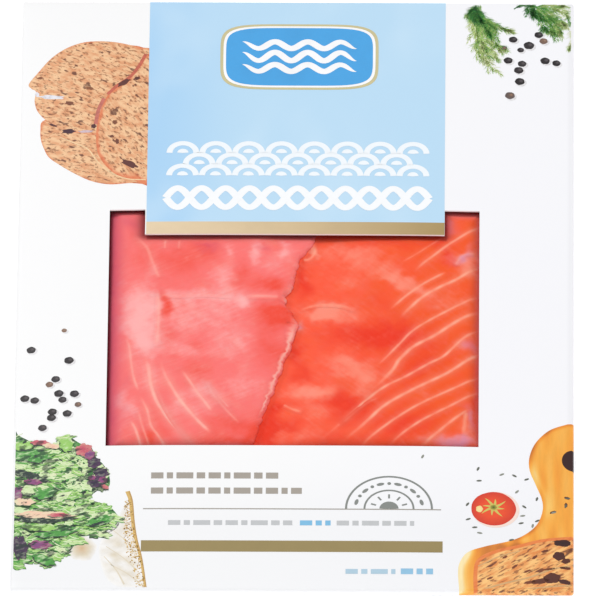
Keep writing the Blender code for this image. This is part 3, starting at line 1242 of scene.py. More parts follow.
@dataclass
class PepperPrint:
    """Printed peppercorns at the top right and at the left."""

    card: CardShell
    top: Rows = (
        (57.2, 92.5, 1.15, 0), (54.6, 89, 1.1, 0.5), (59.2, 88.6, 0.9, 0.05), (61.4, 90.4, 1.4, 0.05),
        (64, 94.5, 1.15, 0), (65.3, 92.2, 1.1, 0.75), (55.9, 84.5, 1.2, 0), (59.6, 83.4, 1.15, 0.1),
        (58.7, 80.9, 1.25, 0.05), (59, 76.7, 1.3, 0), (65.7, 84.8, 1.25, 0), (68.7, 84.1, 1.1, 0),
        (56.4, 71.3, 1.3, 0.6),
    )
    left: Rows = (
        (-60.5, -15.2, 0.7, 0.9), (-69.1, -21.7, 1.2, 0.05), (-59.1, -26.1, 1.25, 0),
        (-62.5, -32.7, 1.15, 0.1), (-64.1, -34.5, 1, 0.8), (-61.6, -37.9, 1.25, 0),
        (-57.5, -38.2, 1.2, 0.05), (-60.6, -40.2, 1.1, 0.1), (-70.5, -39.1, 1.2, 0),
        (-67.9, -40, 1.15, 0.05), (-56.5, -42.1, 0.9, 0.7), (-63.2, -44.4, 1.2, 0),
        (-59.3, -45.2, 1.2, 0.05), (-63.4, -46.5, 1.2, 0), (-65.7, -50, 1.15, 0.15),
    )

    def build(self) -> Piece:
        """Builds each corn as a dark disc with a lighter side, over a faint shadow."""
        layer = Print(self.card, "print_peppercorns", 0.026)
        corns = np.array(self.top + self.left)
        places = corns[:, :2]
        size = corns[:, 2:3] * np.ones((1, 2))
        still = np.zeros(len(corns))
        layer.blobs(places + (0.35, -0.4), size * 1.12, still, np.full(len(corns), 1), rings=1, lift=-0.006)
        layer.blobs(places, size, still, corns[:, 3] * 0.55 + 0.06, wobble=0.035, rim=-0.05, sides=20)
        spot = places + size * (0.28, 0.22)
        shine = corns[:, 3] * 0.4 + 0.34
        layer.blobs(spot, size * 0.48, still + 0.5, shine, wobble=0.12, rim=-0.2, lift=0.006)
        stops = (
            (0, (22, 18, 22)), (0.3, (84, 78, 82)), (0.5, (140, 108, 88)), (0.7, (186, 160, 140)),
            (0.9, (226, 222, 224)), (1, (236, 234, 236)),
        )
        return layer.press(Ink("pepper_ink", stops, grain=0.7, depth=0.25))


class Leaf(Enum):
    """Tones of the salad's ink."""

    DARK = 0
    GREEN = 0.2
    LIGHT = 0.38
    YELLOW = 0.5
    PEACH = 0.62
    ROSE = 0.76
    PURPLE = 0.88
    NIGHT = 1


def within(places: Array, outline: Array) -> Array:
    """Tells which places lie in a closed outline.

    From such a place, a line to the right crosses the outline an odd number of times.

    Args:
        places: places by two.
        outline: the outline's places, the last one equal to the first.

    Returns:
        True for each place that lies in it.
    """
    start, end = outline[:-1], outline[1:]
    across, along = places[:, :1], places[:, 1:]
    spans = (start[:, 1] > along) != (end[:, 1] > along)
    rise = np.where(end[:, 1] == start[:, 1], 1, end[:, 1] - start[:, 1])
    crossing = start[:, 0] + (along - start[:, 1]) / rise * (end[:, 0] - start[:, 0])
    return (spans & (across < crossing)).sum(axis=1) % 2 == 1


@dataclass
class SaladPrint:
    """Printed salad at the bottom left: many ruffled leaves over a dark ground."""

    card: CardShell
    cell: tuple[float, float] = (2.3, 1.75)
    layers: tuple[int, int] = (4, 5)
    layer_step: float = 0.0022
    accents: tuple[tuple[float, float, float, float, float, Leaf], ...] = (
        (-68.8, -59.5, 5.2, 2.4, -0.25, Leaf.GREEN), (-70.4, -56.2, 3, 1.4, 0.1, Leaf.LIGHT),
        (-66.3, -55.3, 2.4, 0.9, -0.1, Leaf.ROSE), (-63.1, -56.7, 2.4, 0.9, -0.2, Leaf.PEACH),
        (-59.4, -56.6, 1.7, 2.4, 0.3, Leaf.LIGHT), (-54.7, -58.5, 2.2, 2.2, -0.4, Leaf.ROSE),
        (-53.1, -60.4, 1.3, 1.6, -0.5, Leaf.PURPLE), (-52, -63.2, 1.7, 1.9, -0.4, Leaf.NIGHT),
        (-50.1, -66.8, 2, 1.7, -0.2, Leaf.NIGHT), (-51.1, -70, 2.5, 2, 0.1, Leaf.NIGHT),
        (-49.6, -69.3, 1.2, 1, 0.2, Leaf.PURPLE), (-52.5, -68.5, 1, 0.8, 0.2, Leaf.PURPLE),
        (-49, -71.8, 1.1, 0.7, -0.6, Leaf.ROSE), (-69.5, -66.6, 4.4, 1.3, -0.4, Leaf.DARK),
        (-66.1, -68.6, 3, 0.7, -0.3, Leaf.DARK), (-67.9, -69.2, 2.3, 1, -0.2, Leaf.PURPLE),
        (-71.7, -72.9, 1.5, 2.1, 0, Leaf.PURPLE), (-69.1, -72.7, 1.7, 1.3, -0.2, Leaf.YELLOW),
        (-70.1, -76.2, 2.8, 1.3, -0.1, Leaf.PEACH), (-70.6, -79.4, 2.5, 1.2, -0.3, Leaf.YELLOW),
        (-64.8, -81.1, 7.4, 1.3, -0.08, Leaf.PEACH), (-61.2, -81.3, 2.6, 0.7, 0, Leaf.ROSE),
        (-67.4, -83.1, 5.6, 0.8, -0.16, Leaf.DARK), (-60.1, -83.1, 4, 0.6, 0.1, Leaf.DARK),
        (-70.9, -92.5, 2, 4.2, 0.1, Leaf.NIGHT), (-65.7, -91.6, 3, 1.5, -0.1, Leaf.PURPLE),
        (-61.9, -87.5, 5.2, 1.5, 0.1, Leaf.GREEN), (-65.8, -85.7, 4.4, 1.1, -0.1, Leaf.LIGHT),
        (-50.2, -83.6, 3.6, 1.5, 0.35, Leaf.GREEN), (-50.7, -84.7, 2.3, 0.5, 0.35, Leaf.DARK),
        (-64.6, -96.9, 3.2, 1.5, -0.5, Leaf.GREEN), (-64.7, -73.7, 3, 1.7, 0.3, Leaf.GREEN),
    )

    def build(self) -> Piece:
        """Builds a dark ground, seeded leaves of light green and the leaves of other colours."""
        layer = Print(self.card, "print_salad", 0.008)
        pick = np.random.default_rng(SEED + 9)
        ground = (
            (-73.6, -54.6), (-72.3, -52.2), (-70.5, -53.3), (-68.6, -54.5), (-65.7, -54.8), (-63.6, -56.3),
            (-61, -55.4), (-59.5, -52.8), (-58.2, -53.8), (-55.8, -56), (-52.9, -57.5), (-51.5, -61.1),
            (-49.4, -64), (-48, -67.6), (-48, -71.5), (-51.1, -73.1), (-53.1, -75.9), (-52.1, -78.7),
            (-48.7, -77.8), (-46, -80.9), (-45.1, -83.7), (-46.2, -86.5), (-50.4, -88.8), (-54.3, -88.1),
            (-56.3, -91.2), (-58.6, -94.9), (-60.9, -95.9), (-62.8, -99.7), (-65.1, -98.3), (-69, -97.3),
            (-68.8, -95.7), (-72.9, -96.7),
        )
        layer.outline(ground[::-1], lambda ring, at: 0.06 + 0.1 * ripple(at[..., 0], at[..., 1], 6, 3))
        columns, rows = np.meshgrid(np.arange(13), np.arange(28))
        jitter = pick.uniform(-0.5, 0.5, (2, *columns.shape))
        x = -73.5 + (columns + 0.5 * (rows % 2) + 0.8 * jitter[0]) * self.cell[0]
        y = -51 - (rows + 0.8 * jitter[1]) * self.cell[1]
        places = joined(x, y).reshape(-1, 2)
        level = (columns % self.layers[0] + self.layers[0] * (rows % self.layers[1])).reshape(-1)
        kept = within(places, closed_through(ground, 6))
        places, level = places[kept], level[kept]
        count = len(places)
        frill = ease((places[:, 0] + 62) / 5) * ease((places[:, 1] + 78) / 4)
        tones = 0.24 + 0.15 * frill + pick.uniform(-0.12, 0.2, count)
        tones = np.minimum(tones + 0.1 * (pick.uniform(size=count) > 0.8), 0.43)
        sizes = joined(pick.uniform(1.3, 3, count) - 0.6 * frill, pick.uniform(0.7, 1.3, count))
        turns = pick.uniform(-0.7, 0.4, count)
        for step in range(self.layers[0] * self.layers[1]):
            lift = self.layer_step * 2 * step + 0.003
            self.add_leaves(layer, places, sizes, turns, tones, level == step, lift)
        top = self.layer_step * 2 * self.layers[0] * self.layers[1] + 0.006
        for order, spot in enumerate(self.accents):
            x, y, half_x, half_y, turn, leaf = spot
            lift = top + 2 * self.layer_step * order
            if leaf not in (Leaf.DARK, Leaf.NIGHT):
                under = (x - 0.1, y - 0.35, half_x * 1.02, half_y * 1.02, turn, 0)
                layer.marks([under], wobble=0.12, lobes=6, lift=lift)
            mark = (x, y, half_x, half_y, turn, leaf.value)
            layer.marks([mark], wobble=0.12, lobes=6, rim=-0.03, lift=lift + self.layer_step, sides=30)
        stops = (
            (0, (20, 44, 38)), (0.2, (76, 160, 62)), (0.38, (158, 208, 104)), (0.52, (226, 238, 194)),
            (0.62, (246, 196, 170)), (0.76, (196, 70, 98)), (0.88, (128, 66, 124)), (1, (34, 22, 54)),
        )
        return layer.press(LeafInk("salad_ink", stops))

    @staticmethod
    def add_leaves(layer: Print, places: Array, sizes: Array, turns: Array, tones: Array,
                   chosen: Array, lift: float) -> None:
        """Adds the chosen leaves, each over a dark blot a little below it and with a paler midrib.

        Args:
            layer: the layer that takes them.
            places: the leaves' middles.
            sizes: half sizes.
            turns: directions.
            tones: the ink's tones.
            chosen: tells which leaves are added.
            lift: lift of the lowest.
        """
        at, size, turn, tone = places[chosen], sizes[chosen], turns[chosen], tones[chosen]
        layer.blobs(at - (0, 0.3), size, turn, 0.5 * tone - 0.03, 0.22, 5, lift=lift, rings=2)
        layer.blobs(at, size, turn, tone - 0.03, 0.22, 5, rim=0.13, lift=lift + 0.0022, sides=24)
        run = np.linspace(-0.75, 0.8, 7)[None, :]
        heading = turn[:, None] + 0.25 * run
        rib = polar((at[:, :1], at[:, 1:]), size[:, :1] * run, heading)
        layer.ribbons(rib, 0.34 * (1 - 0.6 * np.abs(run)), 0.52, lift + 0.004)


@dataclass
class WrapPrint:
    """Printed paper wrap beside the salad, with a golden seeded edge."""

    card: CardShell

    def build(self) -> Piece:
        """Builds the cream paper and its golden edge."""
        layer = Print(self.card, "print_wrap", 0.004)
        layer.marks([(-54.8, -92.9, 3.8, 4.4, 0.2, 0.46)], wobble=0.05, rim=-0.44, rings=8, sides=32)
        paper = (
            (-42.9, -78.2), (-45.2, -81.3), (-48.3, -86.8), (-50.3, -92.6), (-49.7, -98.8), (-47.8, -103.8),
            (-44.1, -106.5), (-38.7, -107.9), (-39, -100.5), (-40.4, -90.3),
        )
        layer.outline(paper, lambda ring, flat: 0.13 * (1 - ring**4) * (0.8 + 0.6 * ripple(
            flat[..., 0], flat[..., 1], 3, 11)), lift=0.004)
        for start, end in (
            ((-46.7, -86.8), (-40.9, -94.4)), ((-48.5, -92.3), (-40.3, -100.5)),
            ((-47.4, -98.4), (-39.5, -104.8)), ((-49, -95.7), (-43.6, -105.2)),
        ):
            middle = (0.5 * (start[0] + end[0]) + 0.6, 0.5 * (start[1] + end[1]))
            crease = curve_through((start, middle, end), 16)
            layer.ribbons(crease, np.linspace(0.2, 0.5, 16), 0.2, 0.006)
        edge = curve_through(((-43.1, -73.3), (-42.2, -76.8), (-41.6, -83.7), (-40.8, -89.6),
                              (-39.3, -96.8), (-38, -106.8)), 60)
        share = np.linspace(0, 1, 60)
        layer.ribbons(edge, 1.2 - 0.6 * share, 0.76, 0.012)
        layer.ribbons(edge + (0.4 - 0.2 * share)[:, None] * (1, 0), 0.4 - 0.1 * share, 0.88, 0.015)
        pick = np.random.default_rng(SEED + 13)
        many = 420
        at = np.sort(pick.integers(12, 59, many))
        reach = np.interp(at, (12, 40, 59), (1.8, 3.2, 2.6))
        specks = edge[at] + joined(-reach * pick.uniform(0, 1, many) ** 1.6, pick.normal(0, 0.5, many))
        sizes = pick.uniform(0.1, 0.26, (many, 2))
        layer.blobs(specks, sizes, np.zeros(many), pick.uniform(0.6, 1, many), sides=6, rings=1, lift=0.018)
        stops = (
            (0, (250, 249, 248)), (0.22, (226, 214, 190)), (0.5, (214, 176, 130)), (0.7, (232, 196, 116)),
            (1, (162, 112, 52)),
        )
        return layer.press(Ink("wrap_ink", stops, grain=2.4, depth=0.08))


@dataclass
class TomatoPrint:
    """Printed tomato with its star of leaves, and the seeds strewn round it."""

    card: CardShell
    middle: tuple[float, float] = (52.5, -78.7)
    radius: float = 5.85
    seeds: Rows = (
        (33.9, -60.8, 1.2), (48.4, -64.8, 1.2), (48.7, -69, 0.1), (54.6, -66.6, 0.5), (57.9, -66.9, -0.6),
        (61.1, -68, 0.5), (58.6, -72.5, 0.9), (63.8, -74.8, 1.3), (60.5, -77.7, -0.7), (60.1, -80.9, 0.2),
        (59.7, -83.5, 0.3), (63.9, -82.5, 0.6), (62.7, -84.3, 1.4), (57.2, -89.4, 0.3), (47.6, -85.3, 0.1),
        (48.9, -87.2, -0.2), (45.9, -82.5, 0.4), (45.7, -77.3, 1), (68.2, -79.3, 0.4), (71.3, -76.8, 1.4),
        (71.8, -74, 0.1),
    )

    def build(self) -> list[Piece]:
        """Builds the fruit, its star and the seeds."""
        fruit = Print(self.card, "print_tomato", 0.03)
        middle = np.array([self.middle])
        size = np.full((1, 2), self.radius)
        flat = np.zeros(1)
        fruit.blobs(middle + (0.5, -0.3), size * 1.07, flat, np.array([1]), rings=2, sides=48, lift=-0.006)
        fruit.blobs(middle, size, flat, np.array([0.1]), 0.006, rim=0.2, rings=8, sides=48)
        fruit.blobs(middle + (-3.7, -0.2), np.array([[0.9, 1.15]]), flat, np.array([0.82]), 0.06, rim=-0.06,
                    lift=0.006)
        rays = 8
        angle = np.radians(22) + np.arange(rays) * 2 * math.pi / rays
        reach = np.where(np.arange(rays) % 2 == 0, 3.9, 2.9)[:, None]
        steps = np.linspace(0.05, 1, 6)[None, :]
        star = polar((self.middle[0], self.middle[1] + 0.5), reach * steps, angle[:, None] + 0.25 * steps)
        fruit.ribbons(star, 0.95 * (1 - steps) ** 0.7 + 0.06, 0.64, 0.01)
        heart = (self.middle[0], self.middle[1] + 0.5, 0.85, 0.85, 0, 0.46)
        fruit.marks([heart], wobble=0.1, rim=0.1, lift=0.016)
        stops = (
            (0, (246, 98, 48)), (0.2, (238, 80, 40)), (0.3, (214, 58, 36)), (0.46, (58, 84, 26)),
            (0.6, (202, 190, 78)), (0.82, (252, 226, 158)), (1, (250, 226, 214)),
        )
        ink = Ink("tomato_ink", stops, grain=2.5, depth=0.08)
        return [fruit.press(ink), self.build_seeds()]

    def build_seeds(self) -> Piece:
        """Builds the seeds as small turned ovals."""
        layer = Print(self.card, "print_seeds", 0.044)
        strewn = np.array(self.seeds)
        count = len(strewn)
        tones = np.where(np.arange(count) % 3 == 0, 0.7, 0.25)
        sizes = np.tile([0.72, 0.3], (count, 1))
        layer.blobs(strewn[:, :2], sizes, strewn[:, 2], tones, 0.05, sides=12, rings=2)
        ink = Ink("seed_ink", ((0, (60, 66, 52)), (1, (168, 170, 158))), grain=0.6, depth=0.3)
        return layer.press(ink)


@dataclass
class BoardPrint:
    """Printed wooden board and sliced loaf, which run over the right and lower folds."""

    card: CardShell

    def build(self) -> list[Piece]:
        """Builds the board with its hole, and the loaf with its dark gaps."""
        flat_x, flat_y = self.card.flat()
        board = Print(self.card, "print_board", 0.01)
        rim = curve_through(((43.6, -flat_y), (43.3, -100.9), (43.8, -97.2), (45.9, -93.8), (50.3, -91.8),
                             (57.1, -89.6), (61.2, -87), (64, -83.4), (65.3, -78.6), (65, -74.5),
                             (63.4, -69.6), (61.9, -64.8), (61.8, -60.1), (63.4, -54.9), (66.9, -50.2),
                             (71.2, -47.7), (flat_x, -47.3)), 120)

        def wood(flat: Array) -> Array:
            """Tone of the wood: streaked along, dark at the rim and pale at its lowest part.

            Args:
                flat: places on the print.

            Returns:
                The tone at each place.
            """
            across, along = flat[..., 0], flat[..., 1]
            distance = near_curve(across, along, rim)[0]
            streak = 0.14 * ripple(across * 3, along * 0.5, 9, 21)
            deep = 0.3 * (1 - ease((distance - 0.2) / 1.2)) * ease((along + 91) / 3)
            low = ease((-89 - along) / 3) * ease((across - 46) / 5)
            pale = 0.8 * (1 - ease(distance / 3.4)) * ease((48.5 - across) / 3)
            glow = 0.4 * (1 - ease(distance / 3)) * ease((-60 - along) / 6) * ease((along + 84) / 6)
            return 0.42 + streak - deep + pale + glow - 0.42 * low

        board.between(rim, 46, wood, foot=True)
        stops = (
            (0, (206, 120, 44)), (0.2, (240, 148, 48)), (0.42, (248, 172, 66)), (0.7, (252, 200, 104)),
            (1, (253, 232, 176)),
        )
        pieces = [board.press(Ink("wood_ink", stops, grain=3, depth=0.08, stretch=(0.4, 2.6, 1)))]
        loaf = Print(self.card, "print_loaf", 0.018)
        crust = curve_through(
            ((47.4, -107.4), (47.3, -102), (47.7, -97.6), (49.3, -95.2), (52.1, -93.4), (55.5, -92.1),
             (58.6, -91.2), (62.3, -89.8), (66.2, -88.6), (72.7, -87.6)), 90,
        )
        crust[-1, 0] = flat_x
        crust[0, 1] = -flat_y

        def bake(flat: Array) -> Array:
            """Tone of the loaf: crust near its edge."""
            return 1 - ease(near_curve(flat[..., 0], flat[..., 1], crust)[0] / 2.6)

        loaf.between(crust, 44, bake, foot=True)
        ink = CrumbInk("loaf_ink", (252, 198, 124), (228, 140, 72), (232, 122, 58), (122, 56, 30),
                       (84, 34, 28), (3.2, 0.9, 1), 0.6, 0.6)
        pieces.append(loaf.press(ink))
        pieces.append(self.build_darks())
        return pieces

    def build_darks(self) -> Piece:
        """Builds the board's hole, and the gaps and pale rims of the loaf's slices."""
        darks = Print(self.card, "print_board_darks", 0.026)
        spots = (
            (70.6, -90, 2.4, 1.2, 0, 0.02), (69.6, -94.6, 1.6, 1.5, -0.1, 0.12),
            (71.4, -96.3, 1.2, 0.9, 0.3, 0.2), (67.8, -102.4, 2.2, 1.8, 0.2, 0.2),
            (64.7, -103.5, 2.4, 0.9, 0.2, 0.28), (62, -103.9, 1.6, 0.5, 0.2, 0.4),
            (71.2, -103.7, 1.9, 0.8, -0.3, 0.12), (71.4, -98.8, 1.7, 0.5, -0.1, 0.3),
            (66.7, -99.3, 2.4, 0.35, 0.2, 0.42), (53.6, -107.4, 1.5, 1.1, 0, 0.05),
            (63.3, -95.2, 0.9, 0.4, 0.8, 0.36), (58.1, -98.5, 1, 0.35, 0.7, 0.4),
            (55.5, -95.4, 0.8, 0.35, 0.6, 0.4), (61.3, -100.1, 1.1, 0.35, 0.5, 0.4),
            (65.9, -93, 1, 0.4, 0.4, 0.34), (51.6, -102.6, 0.9, 0.35, 0.5, 0.42),
            (68, -79.2, 0.9, 0.4, 0.5, 0.15), (71.4, -76.4, 0.4, 0.8, 0, 0.3),
            (71.7, -73.9, 0.8, 0.45, -0.3, 0.3),
        )
        darks.marks(spots, wobble=0.08, rim=0.05, sides=28)
        flat_x = self.card.flat()[0]
        turn = np.linspace(-math.pi / 2, math.pi / 2, 30)
        middle = (73.2, -60.5)
        hole = joined(middle[0] - 2.9 * np.cos(turn), middle[1] + 3.7 * np.sin(turn))
        hole[:, 0] = np.minimum(hole[:, 0], flat_x)
        darks.between(hole, 8, 0.02)
        gaps = (
            ((49, -106.7), (55.5, -104.3), (62, -102.2), (67.8, -99.3), (72.5, -98.1)),
            ((56.9, -107.4), (63.4, -105.9), (72.7, -104.8)), ((48.5, -98.6), (54.2, -95.1), (59.4, -93.2)),
        )
        for gap, width in zip(gaps, (0.6, 0.5, 0.35)):
            darks.ribbons(curve_through(gap, 30), width, 0.82)
        stops = ((0, (46, 20, 24)), (0.35, (104, 50, 30)), (0.6, (160, 88, 42)), (1, (252, 214, 150)))
        return darks.press(Ink("dark_ink", stops, grain=1, depth=0.15))


@dataclass
class LineArt:
    """Thin grey rules, the double half ring with rays, and bars where small words would be."""

    card: CardShell
    rule_level: float = -79.4
    badge: tuple[float, float] = (25.2, -79.2)

    def build(self) -> Piece:
        """Builds the rule, the badge and the bars."""
        layer = Print(self.card, "print_lines", 0.03)
        self.add_bar(layer, (-39, 38.8), self.rule_level, 0.34, 0.3)
        layer.arch(self.badge, 11.2, 0.55, 0.1)
        layer.arch(self.badge, 6.4, 0.5, 0.1)
        beads = np.radians(np.linspace(15, 165, 11))
        places = polar(self.badge, 8.8, beads)
        sizes = np.where(np.arange(11)[:, None] % 2 == 0, [[1.05, 0.5]], [[0.5, 0.5]])
        layer.blobs(places, sizes, beads + math.pi / 2, np.full(11, 0.1), sides=12, rings=1)
        rays = np.radians(np.linspace(20, 160, 5))[:, None]
        reach = np.linspace(3.6, 5, 3)[None, :]
        layer.ribbons(polar(self.badge, reach, rays), 0.5, 0.1)
        layer.arch(self.badge, 1.3, 2.4, 0.1, count=20)
        for start, end, level, height, tone in (
            (-37, -3, -67.8, 2.1, 0.35), (-37, 2.4, -73.1, 2.1, 0.35), (-32.4, 0, -84.2, 1.6, 0.7),
            (2, 10, -84.2, 1.7, 1), (11.6, 31.8, -84.2, 1.6, 0.7), (14, 27, -100.6, 1.6, 0.85),
            (28.4, 36.8, -100.5, 1.9, 0.95),
        ):
            self.add_bars(layer, (start, end), level, height, tone)
        stops = (
            (0, (132, 136, 132)), (0.1, (134, 138, 134)), (0.35, (168, 160, 150)), (0.7, (196, 198, 200)),
            (0.85, (176, 206, 224)), (1, (126, 190, 228)),
        )
        return layer.press(Ink("line_ink", stops, depth=0.04))

    def add_bars(self, layer: Print, span: tuple[float, float], level: float, height: float,
                 tone: float) -> None:
        """Adds a row of bars of even height whose lengths repeat in a set rhythm.

        Args:
            layer: the print that takes them.
            span: the row's two ends.
            level: the row's middle.
            height: the bars' height.
            tone: the ink's tone.
        """
        rhythm = np.tile([3.2, 1.6, 4.4, 2.2], 8)
        gap = 0.9
        ends = span[0] + np.cumsum(rhythm + gap)
        starts = ends - rhythm - gap
        for start, end in zip(starts, ends - gap):
            if start < span[1] - 1:
                self.add_bar(layer, (start, min(end, span[1])), level, height, tone)

    @staticmethod
    def add_bar(layer: Print, span: tuple[float, float], level: float, height: float, tone: float) -> None:
        """Adds one straight bar, with a place every millimetre or so along it."""
        layer.ribbons(joined(grid_lines(span[0], span[1], 1.2), level), height, tone)


def soft_spots(spots: Rows, across: Array, along: Array) -> Array:
    """Sum of soft ovals: bell curves of the turned, scaled distance from each middle.

    Args:
        spots: middle, half sizes, turn and strength of each oval.
        across: places across.
        along: places along.

    Returns:
        The sum at each place, held between 0 and 1.
    """
    total = np.zeros(across.shape)
    for x, y, half_x, half_y, turn, strength in spots:
        run_x, run_y = across - x, along - y
        cosine, sine = math.cos(turn), math.sin(turn)
        share_x = (run_x * cosine + run_y * sine) / half_x
        share_y = (run_y * cosine - run_x * sine) / half_y
        total = total + strength * np.exp(-((share_x**2 + share_y**2) ** 0.95))
    return np.clip(total, 0, 1)


def near_curve(across: Array, along: Array, curve: Array) -> tuple[Array, Array]:
    """Distance from each place to a curve, and the share of the curve where it is nearest.

    Args:
        across: places across.
        along: places along.
        curve: the curve's places in order.

    Returns:
        The distance and the share, each of the places' shape.
    """
    start = curve[:-1]
    step = curve[1:] - start
    length = (step**2).sum(axis=1)
    best = np.full(across.shape, np.inf)
    where = np.zeros(across.shape)
    for index in range(len(start)):
        run_x = across - start[index, 0]
        run_y = along - start[index, 1]
        share = np.clip((run_x * step[index, 0] + run_y * step[index, 1]) / length[index], 0, 1)
        distance = np.hypot(run_x - share * step[index, 0], run_y - share * step[index, 1])
        closer = distance < best
        best = np.where(closer, distance, best)
        where = np.where(closer, (index + share) / len(start), where)
    return best, where


def fade(share: Array) -> Array:
    """Fades a line of fat at its two ends."""
    return ease(share / 0.12) * ease((1 - share) / 0.25)


@dataclass(frozen=True)
class Flesh:
    """What a slice's surface shows: soft ovals that are pale, deep or cool, and lines of fat.

    An oval is a row of middle, half sizes, turn and strength. A line is a route, a width
    and a strength. Pale ovals are partly painted sheen of the film, cool ovals are painted violet shade and
    sheen, and the long flat deep ovals along the window's edges are painted shade.
    """

    pale: Rows
    deep: Rows
    cool: Rows
    lines: tuple[tuple[Route, float, float], ...]

    def values(self, across: Array, along: Array, seed: int) -> dict[str, Array]:
        """Works out the four values of each place.

        The places are first moved by a ripple, so that the parts have uneven edges. A line's
        glow falls with the distance from it as a bell curve, and fades at its two ends.

        Args:
            across: places across.
            along: places along.
            seed: picks the ripple.

        Returns:
            The values by name.
        """
        moved_x, moved_y = (
            start + 1.2 * ripple(across, along, 8, pick) + 0.5 * ripple(across, along, 3, pick + 1)
            for start, pick in ((across, seed), (along, seed + 2))
        )
        glow = np.zeros(across.shape)
        for route, width, strength in self.lines:
            distance, share = near_curve(across, along, curve_through(route, 22))
            near = np.exp(-((distance / (3.4 * width)) ** 2))
            glow = np.maximum(glow, 0.26 * strength * fade(share) * near)
        ovals = {"pale": self.pale, "deep": self.deep, "cool": self.cool}
        return {name: soft_spots(spots, moved_x, moved_y) for name, spots in ovals.items()} | {"fat": glow}


